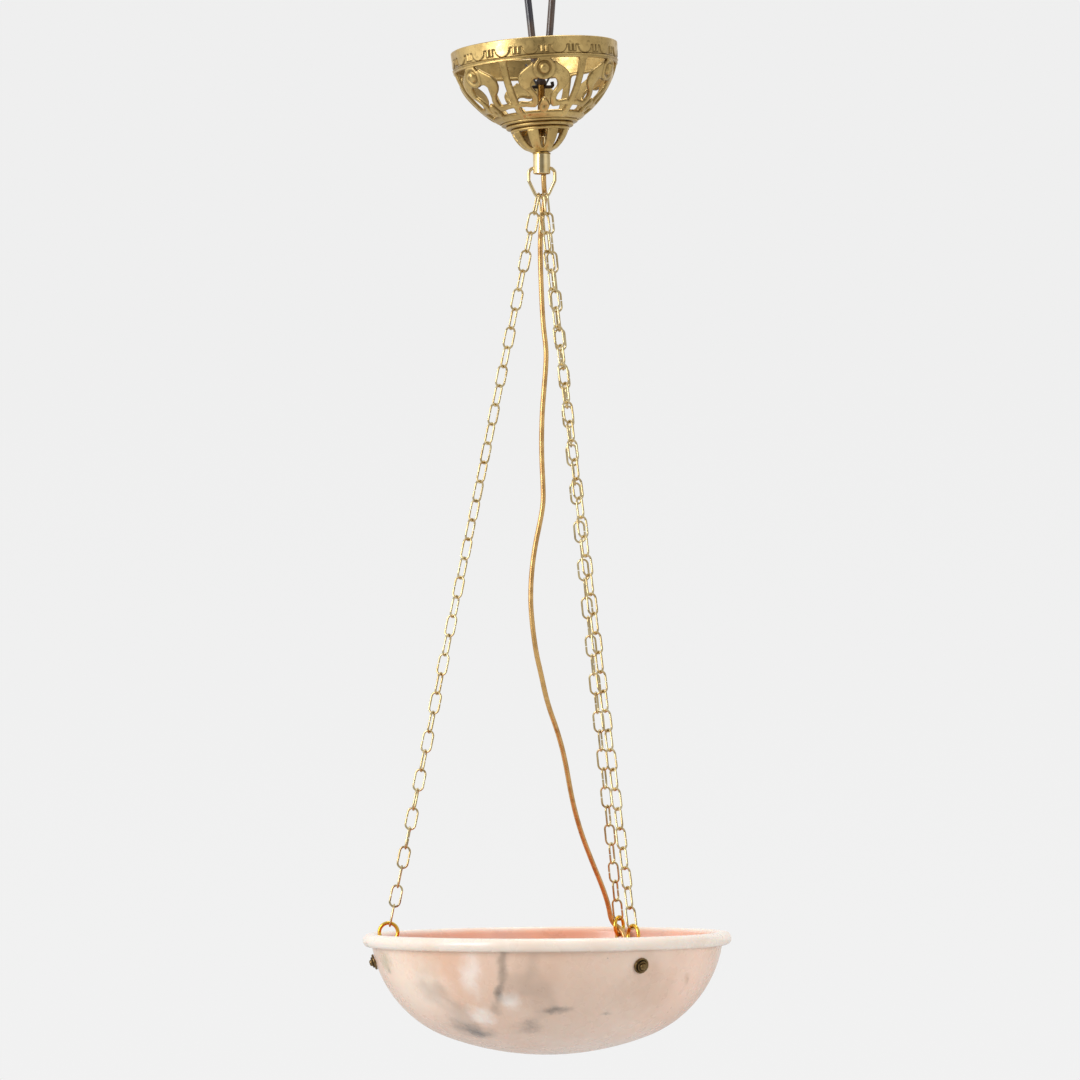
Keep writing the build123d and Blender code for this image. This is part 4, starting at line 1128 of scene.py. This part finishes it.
def alabaster():
    """Pink and cream stone with grey clouds, a paler lip and an orange inside."""
    m = Maker("alabaster_stone")
    warp = m.vector("SUBTRACT", m.noise(24, 3, 0.5, out="Color"), (0.5, 0.5, 0.5))
    fine_warp = m.vector("SUBTRACT", m.noise(95, 3, 0.6, out="Color", seed=2.0), (0.5, 0.5, 0.5))
    w = m.vector("ADD", m.coords, m.vector("SCALE", warp, scale=0.012))
    w = m.vector("ADD", w, m.vector("SCALE", fine_warp, scale=0.006))
    pink, cream = srgb(228, 194, 170), srgb(238, 216, 198)
    grey, tan_ = srgb(206, 180, 160), srgb(224, 184, 156)
    cloud = m.ramp(m.noise(8.0, 4, 0.5, coords=w, seed=0.3), 0.34, 0.66)
    base = m.mix(cloud, pink, cream)
    patch = m.ramp(m.noise(13, 4, 0.55, coords=w, seed=5.2), 0.50, 0.74)
    base = m.mix(m.math("MULTIPLY", patch, 0.5), base, grey)
    warm = m.ramp(m.noise(10, 3, 0.5, coords=w, seed=9.4), 0.48, 0.72)
    base = m.mix(m.math("MULTIPLY", warm, 0.5), base, tan_)
    pale = m.ramp(m.noise(24, 3, 0.5, coords=w, seed=12.1), 0.6, 0.78)
    base = m.mix(m.math("MULTIPLY", pale, 0.28), base, srgb(234, 218, 204))

    def reach_from(place, stretch):
        """Stretched distance from a place in the picture."""
        d = m.vector("SUBTRACT", w, on_bowl(*place))
        return m.vector("LENGTH", m.vector("MULTIPLY", d, tuple(1 / s for s in stretch)))

    for place, radius, colour, share, stretch in TONES.values():
        mask = m.ramp(reach_from(place, stretch), radius * 0.1, radius, 1.0, 0.0)
        base = m.mix(m.math("MULTIPLY", mask, share), base, colour)
    for place, radius, colour, share, grain, ragged, stretch, seed in MARKS.values():
        near = m.ramp(reach_from(place, stretch), 0.0, radius, 1.0, 0.0, smooth=False)
        cloud = m.math("SUBTRACT", m.noise(grain, 4, 0.6, coords=w, seed=seed), 0.5)
        mask = m.ramp(m.math("ADD", near, m.math("MULTIPLY", cloud, ragged)), 0.12, 1.05)
        mask = m.math("MULTIPLY", mask, m.ramp(near, 0.0, 0.35))
        base = m.mix(m.math("MULTIPLY", mask, share), base, colour)
    # soft smoky bands all round, so that the back and the inside have them too
    ridge = m.math("ABSOLUTE", m.math("SUBTRACT", m.noise(4.2, 4, 0.5, coords=w, seed=21.0), 0.5))
    line = m.ramp(ridge, 0.0, 0.03, 1.0, 0.0)
    line = m.math("MULTIPLY", line, m.ramp(m.noise(7, 2, 0.5, seed=14.0), 0.54, 0.7))
    base = m.mix(m.math("MULTIPLY", line, 0.4), base, SMOKE)
    specks = m.ramp(m.noise(170, 2, 0.5, coords=w, seed=31.0), 0.745, 0.79)
    specks = m.math("MULTIPLY", specks, m.ramp(m.noise(20, 2, 0.5, seed=33.0), 0.52, 0.62))
    base = m.mix(m.math("MULTIPLY", specks, 0.5), base, ASH)
    scratch = m.math("SUBTRACT", m.noise(52, 1, 0.3, seed=41.0, distortion=0.4), 0.5)
    hair = m.ramp(m.math("ABSOLUTE", scratch), 0.0, 0.0018, 1.0, 0.0)
    hair = m.math("MULTIPLY", hair, m.ramp(m.noise(26, 2, 0.5, seed=44.0), 0.62, 0.7))
    base = m.mix(m.math("MULTIPLY", hair, 0.35), base, srgb(244, 236, 226))

    # the lip is paler, the inside is orange
    lip = m.ramp(m.split(m.coords)["Z"], (LIP_LOW - 0.6) * MM, (LIP_LOW + 1.6) * MM)
    lip_cloud = m.ramp(m.noise(22, 4, 0.5, coords=w, seed=51.0), 0.4, 0.66)
    lip_tone = m.mix(lip_cloud, srgb(238, 230, 219), srgb(235, 219, 204))
    base = m.mix(m.math("MULTIPLY", lip, 0.85), base, lip_tone)
    inner_cloud = m.ramp(m.noise(18, 4, 0.55, coords=w, seed=61.0), 0.38, 0.66)
    inner_tone = m.mix(inner_cloud, srgb(228, 124, 48), srgb(200, 92, 32))
    inner_tone = m.mix(m.math("MULTIPLY", line, 0.5), inner_tone, srgb(150, 98, 68))
    base = m.mix(m.math("MULTIPLY", m.attribute("inside"), 0.92), base, inner_tone)
    m.set("Base Color", base)
    m.set("Roughness", m.ramp(m.noise(60, 3, 0.5, seed=71.0), 0.3, 0.7, 0.24, 0.34))
    m.set("Subsurface Weight", 0.35)
    m.set("Subsurface Radius", (1.0, 0.62, 0.42))
    m.set("Subsurface Scale", 0.006)
    m.set("Coat Weight", 0.25).set("Coat Roughness", 0.1)
    height = m.math("ADD", m.noise(30, 3, 0.5, seed=81.0), m.math("MULTIPLY", hair, 0.3))
    m.bump(height, 0.012, 0.001)
    return m.material


def smooth_sheath(name, colour, tint, rough, scale=90, metallic=0.0, coat=0.5):
    m = Maker(name)
    cloud = m.ramp(m.noise(scale, 4, 0.55), 0.38, 0.66)
    m.set("Base Color", m.mix(cloud, colour, tint)).set("Metallic", metallic)
    wear = m.noise(scale * 3, 3, 0.5, seed=1.0)
    m.set("Roughness", m.ramp(wear, 0.3, 0.7, rough * 0.8, rough * 1.3))
    m.set("Coat Weight", coat).set("Coat Roughness", 0.12)
    m.bump(m.noise(scale * 9, 3, 0.5, seed=2.0), 0.08, 0.0004)
    return m.material


def hanging_cord_material():
    """Brown sheath, with painted shade making the top of its left run blue-black."""
    m = Maker("brown_hanging_cord")
    split = m.split(m.coords)
    brown = m.mix(m.ramp(m.noise(70, 4, 0.55), 0.36, 0.66), srgb(84, 66, 54), srgb(66, 52, 46))
    # painted shade: the top of the left run is darkened to blue-black
    high = m.ramp(split["Z"], -0.062, -0.050)
    left = m.ramp(split["X"], -0.004, 0.004, 1.0, 0.0)
    m.set("Base Color", m.mix(m.math("MULTIPLY", high, left), brown, srgb(44, 42, 50)))
    m.set("Roughness", m.ramp(m.noise(200, 3, 0.5, seed=1.0), 0.3, 0.7, 0.24, 0.4))
    m.set("Coat Weight", 0.5).set("Coat Roughness", 0.14)
    m.bump(m.noise(800, 3, 0.5, seed=2.0), 0.06, 0.0003)
    return m.material


def felt_material():
    m = Maker("felt")
    pile = m.ramp(m.noise(900, 4, 0.7), 0.35, 0.65)
    m.set("Base Color", m.mix(pile, srgb(46, 60, 44), srgb(70, 84, 62)))
    m.set("Roughness", 0.95).set("Sheen Weight", 0.4)
    m.bump(m.noise(1500, 4, 0.7), 0.5, 0.0006)
    return m.material


CANOPY_BRASS = cast_brass(
    "canopy_cast_brass", srgb(216, 186, 122), srgb(190, 160, 102), srgb(84, 60, 32),
)
DARK_BRASS = cast_brass(
    "rosette_brass", srgb(148, 124, 80), srgb(120, 96, 62), srgb(48, 36, 24),
    (0.2, 0.4),
)
SATIN = cast_brass(
    "satin_brass", srgb(196, 160, 92), srgb(170, 136, 74), srgb(104, 78, 42),
    (0.25, 0.4), with_painted_shade=False,
)
POLISHED = polished_brass("pale_polished_brass", srgb(236, 214, 164), srgb(222, 194, 136), 0.1)
TUBE_BRASS = polished_brass("dull_tube_brass", srgb(136, 104, 54), srgb(112, 82, 40), 0.24)
GOLD = polished_brass("gold_ring_brass", srgb(240, 196, 84), srgb(222, 168, 52), 0.17)
CHAIN = chain_brass()
STONE = alabaster()
CORD = hanging_cord_material()
FLEX = smooth_sheath("gold_brown_flex", srgb(214, 172, 104), srgb(184, 140, 78), 0.26, metallic=0.6)
DARK = smooth_sheath(
    "oxidised_steel", srgb(58, 44, 38), srgb(34, 28, 28),
    0.4, metallic=0.6, coat=0.0,
)
CORE = smooth_sheath("core_sheath", srgb(74, 74, 80), srgb(54, 54, 60), 0.5, coat=0.1)
RUBBER = smooth_sheath("black_bush", srgb(38, 36, 36), srgb(26, 25, 26), 0.55, coat=0.0)
PORCELAIN = smooth_sheath(
    "porcelain_glaze", srgb(236, 232, 222), srgb(226, 220, 208),
    0.16, scale=30,
)
FELT = felt_material()


def dress(piece, material):
    piece.data.materials.clear()
    piece.data.materials.append(material)


def dress_node(node, material):
    target = frame["nodes"][node]
    if not target.material_slots:
        target.data.materials.append(material)
    for slot in target.material_slots:
        slot.material = material


for material, pieces in (
    (CANOPY_BRASS, (cup, finial, *cup.children)), (POLISHED, (sleeve, loop)), (CHAIN, chains),
    (GOLD, rings), (DARK_BRASS, rosettes), (STONE, (bowl,)), (FLEX, (flex, inner_flex)),
    (CORD, (hanging,)), (CORE, cores),
):
    for piece in pieces:
        dress(piece, material)
node_materials = {
    "eye_nut": DARK, "cross_pin": DARK, "suspension_tube": TUBE_BRASS, "seat_washer": SATIN,
    "felt_pad": FELT, "foot_plate": SATIN, "cord_grip": RUBBER, "lampholder": PORCELAIN,
    "screw_shell": SATIN, "centre_contact": SATIN,
}
for side in ANGLES:
    node_materials["lug_" + side] = SATIN
    node_materials["nut_" + side] = SATIN
    node_materials["bolt_" + side] = DARK_BRASS
for node, material in node_materials.items():
    dress_node(node, material)


# ---------------------------------------------------------------- floor, world and lamps
FLOOR_REACH, FLOOR_Z = 40.0, -3.8
# brightness of the room round the object, by degrees from the camera's side towards +X:
# bright windows to the left and right, dim behind the camera
ROOM = (
    (-180, 0.8), (-144, 0.62), (-112, 1.0), (-98, 1.5), (-54, 1.5), (-34, 0.6), (-12, 0.3),
    (14, 0.26), (28, 0.5), (44, 0.95), (66, 0.9), (90, 0.6), (130, 0.5), (180, 0.8),
)


def make_stage():
    verts = [(0, 0, FLOOR_Z)] + [
        (FLOOR_REACH * cos(a), FLOOR_REACH * sin(a), FLOOR_Z)
        for a in (2 * pi * k / 96 for k in range(96))
    ]
    faces = [(0, k + 1, (k + 1) % 96 + 1) for k in range(96)]
    floor = mesh_piece("floor", verts, faces)
    m = Maker("pale_floor")
    tone = m.mix(m.ramp(m.noise(0.8, 3, 0.5), 0.3, 0.7), srgb(238, 238, 238), srgb(232, 232, 232))
    m.set("Base Color", tone).set("Roughness", 0.9)
    dress(floor, m.material)


def make_world():
    """A pale backdrop for the camera and the room that lights the object."""
    world = bpy.data.worlds.new("studio")
    scene.world = world
    n = Nodes(world)
    x, y, z = n.split(n.make("TexCoord", {}, "Generated"))
    pale = n.mix(n.ramp(z, -0.10, 0.08, smooth=False), srgb(242, 242, 242), srgb(239, 239, 239))
    walls = n.make("ValToRGB", {
        "Fac": n.ramp(n.math("ARCTAN2", x, n.math("MULTIPLY", y, -1.0)), -pi, pi, smooth=False),
    })
    walls.color_ramp.interpolation = "EASE"
    elements = walls.color_ramp.elements
    while len(elements) > 1:
        elements.remove(elements[-1])
    for number, (turn, grey) in enumerate(ROOM):
        place = turn / 360 + 0.5
        element = elements[0] if number == 0 else elements.new(place)
        element.position = place
        element.color = (grey, grey, grey, 1)
    room = n.mix(n.ramp(z, 0.35, 0.8), walls.outputs["Color"], (0.8, 0.8, 0.8, 1))
    # metal and glass show the pale backdrop where they mirror what is behind the object
    rays = n.make("LightPath", {}).outputs
    mirrored = n.math("MAXIMUM", rays["Is Glossy Ray"], rays["Is Transmission Ray"])
    backdrop = n.math("MULTIPLY", mirrored, n.ramp(y, 0.55, 0.8))
    n.make("OutputWorld", {0: n.make("MixShader", {
        0: n.math("MAXIMUM", rays["Is Camera Ray"], backdrop),
        1: n.make("Background", {0: room, 1: 0.9}, 0),
        2: n.make("Background", {0: pale}, 0),
    }, 0)})


def make_lamp(name, place, aim, size, power):
    data = bpy.data.lights.new(name, "AREA")
    data.shape = "RECTANGLE"
    data.size, data.size_y = size
    data.energy = power
    lamp = bpy.data.objects.new(name, data)
    scene.collection.objects.link(lamp)
    lamp.location = place
    lamp.rotation_mode = "QUATERNION"
    lamp.rotation_quaternion = (Vector(aim) - Vector(place)).to_track_quat("-Z", "Y")
    return lamp


make_stage()
make_world()
MIDDLE = (0, 0, -0.5)
make_lamp("key", (-2.6, -2.2, 0.5), MIDDLE, (1.4, 2.2), 62)
make_lamp("fill", (2.8, -1.8, 0.0), MIDDLE, (1.2, 2.0), 36).visible_glossy = False
make_lamp("top", (0.2, 0.6, 2.4), MIDDLE, (1.6, 1.4), 30)
scene.view_settings.view_transform = "Standard"
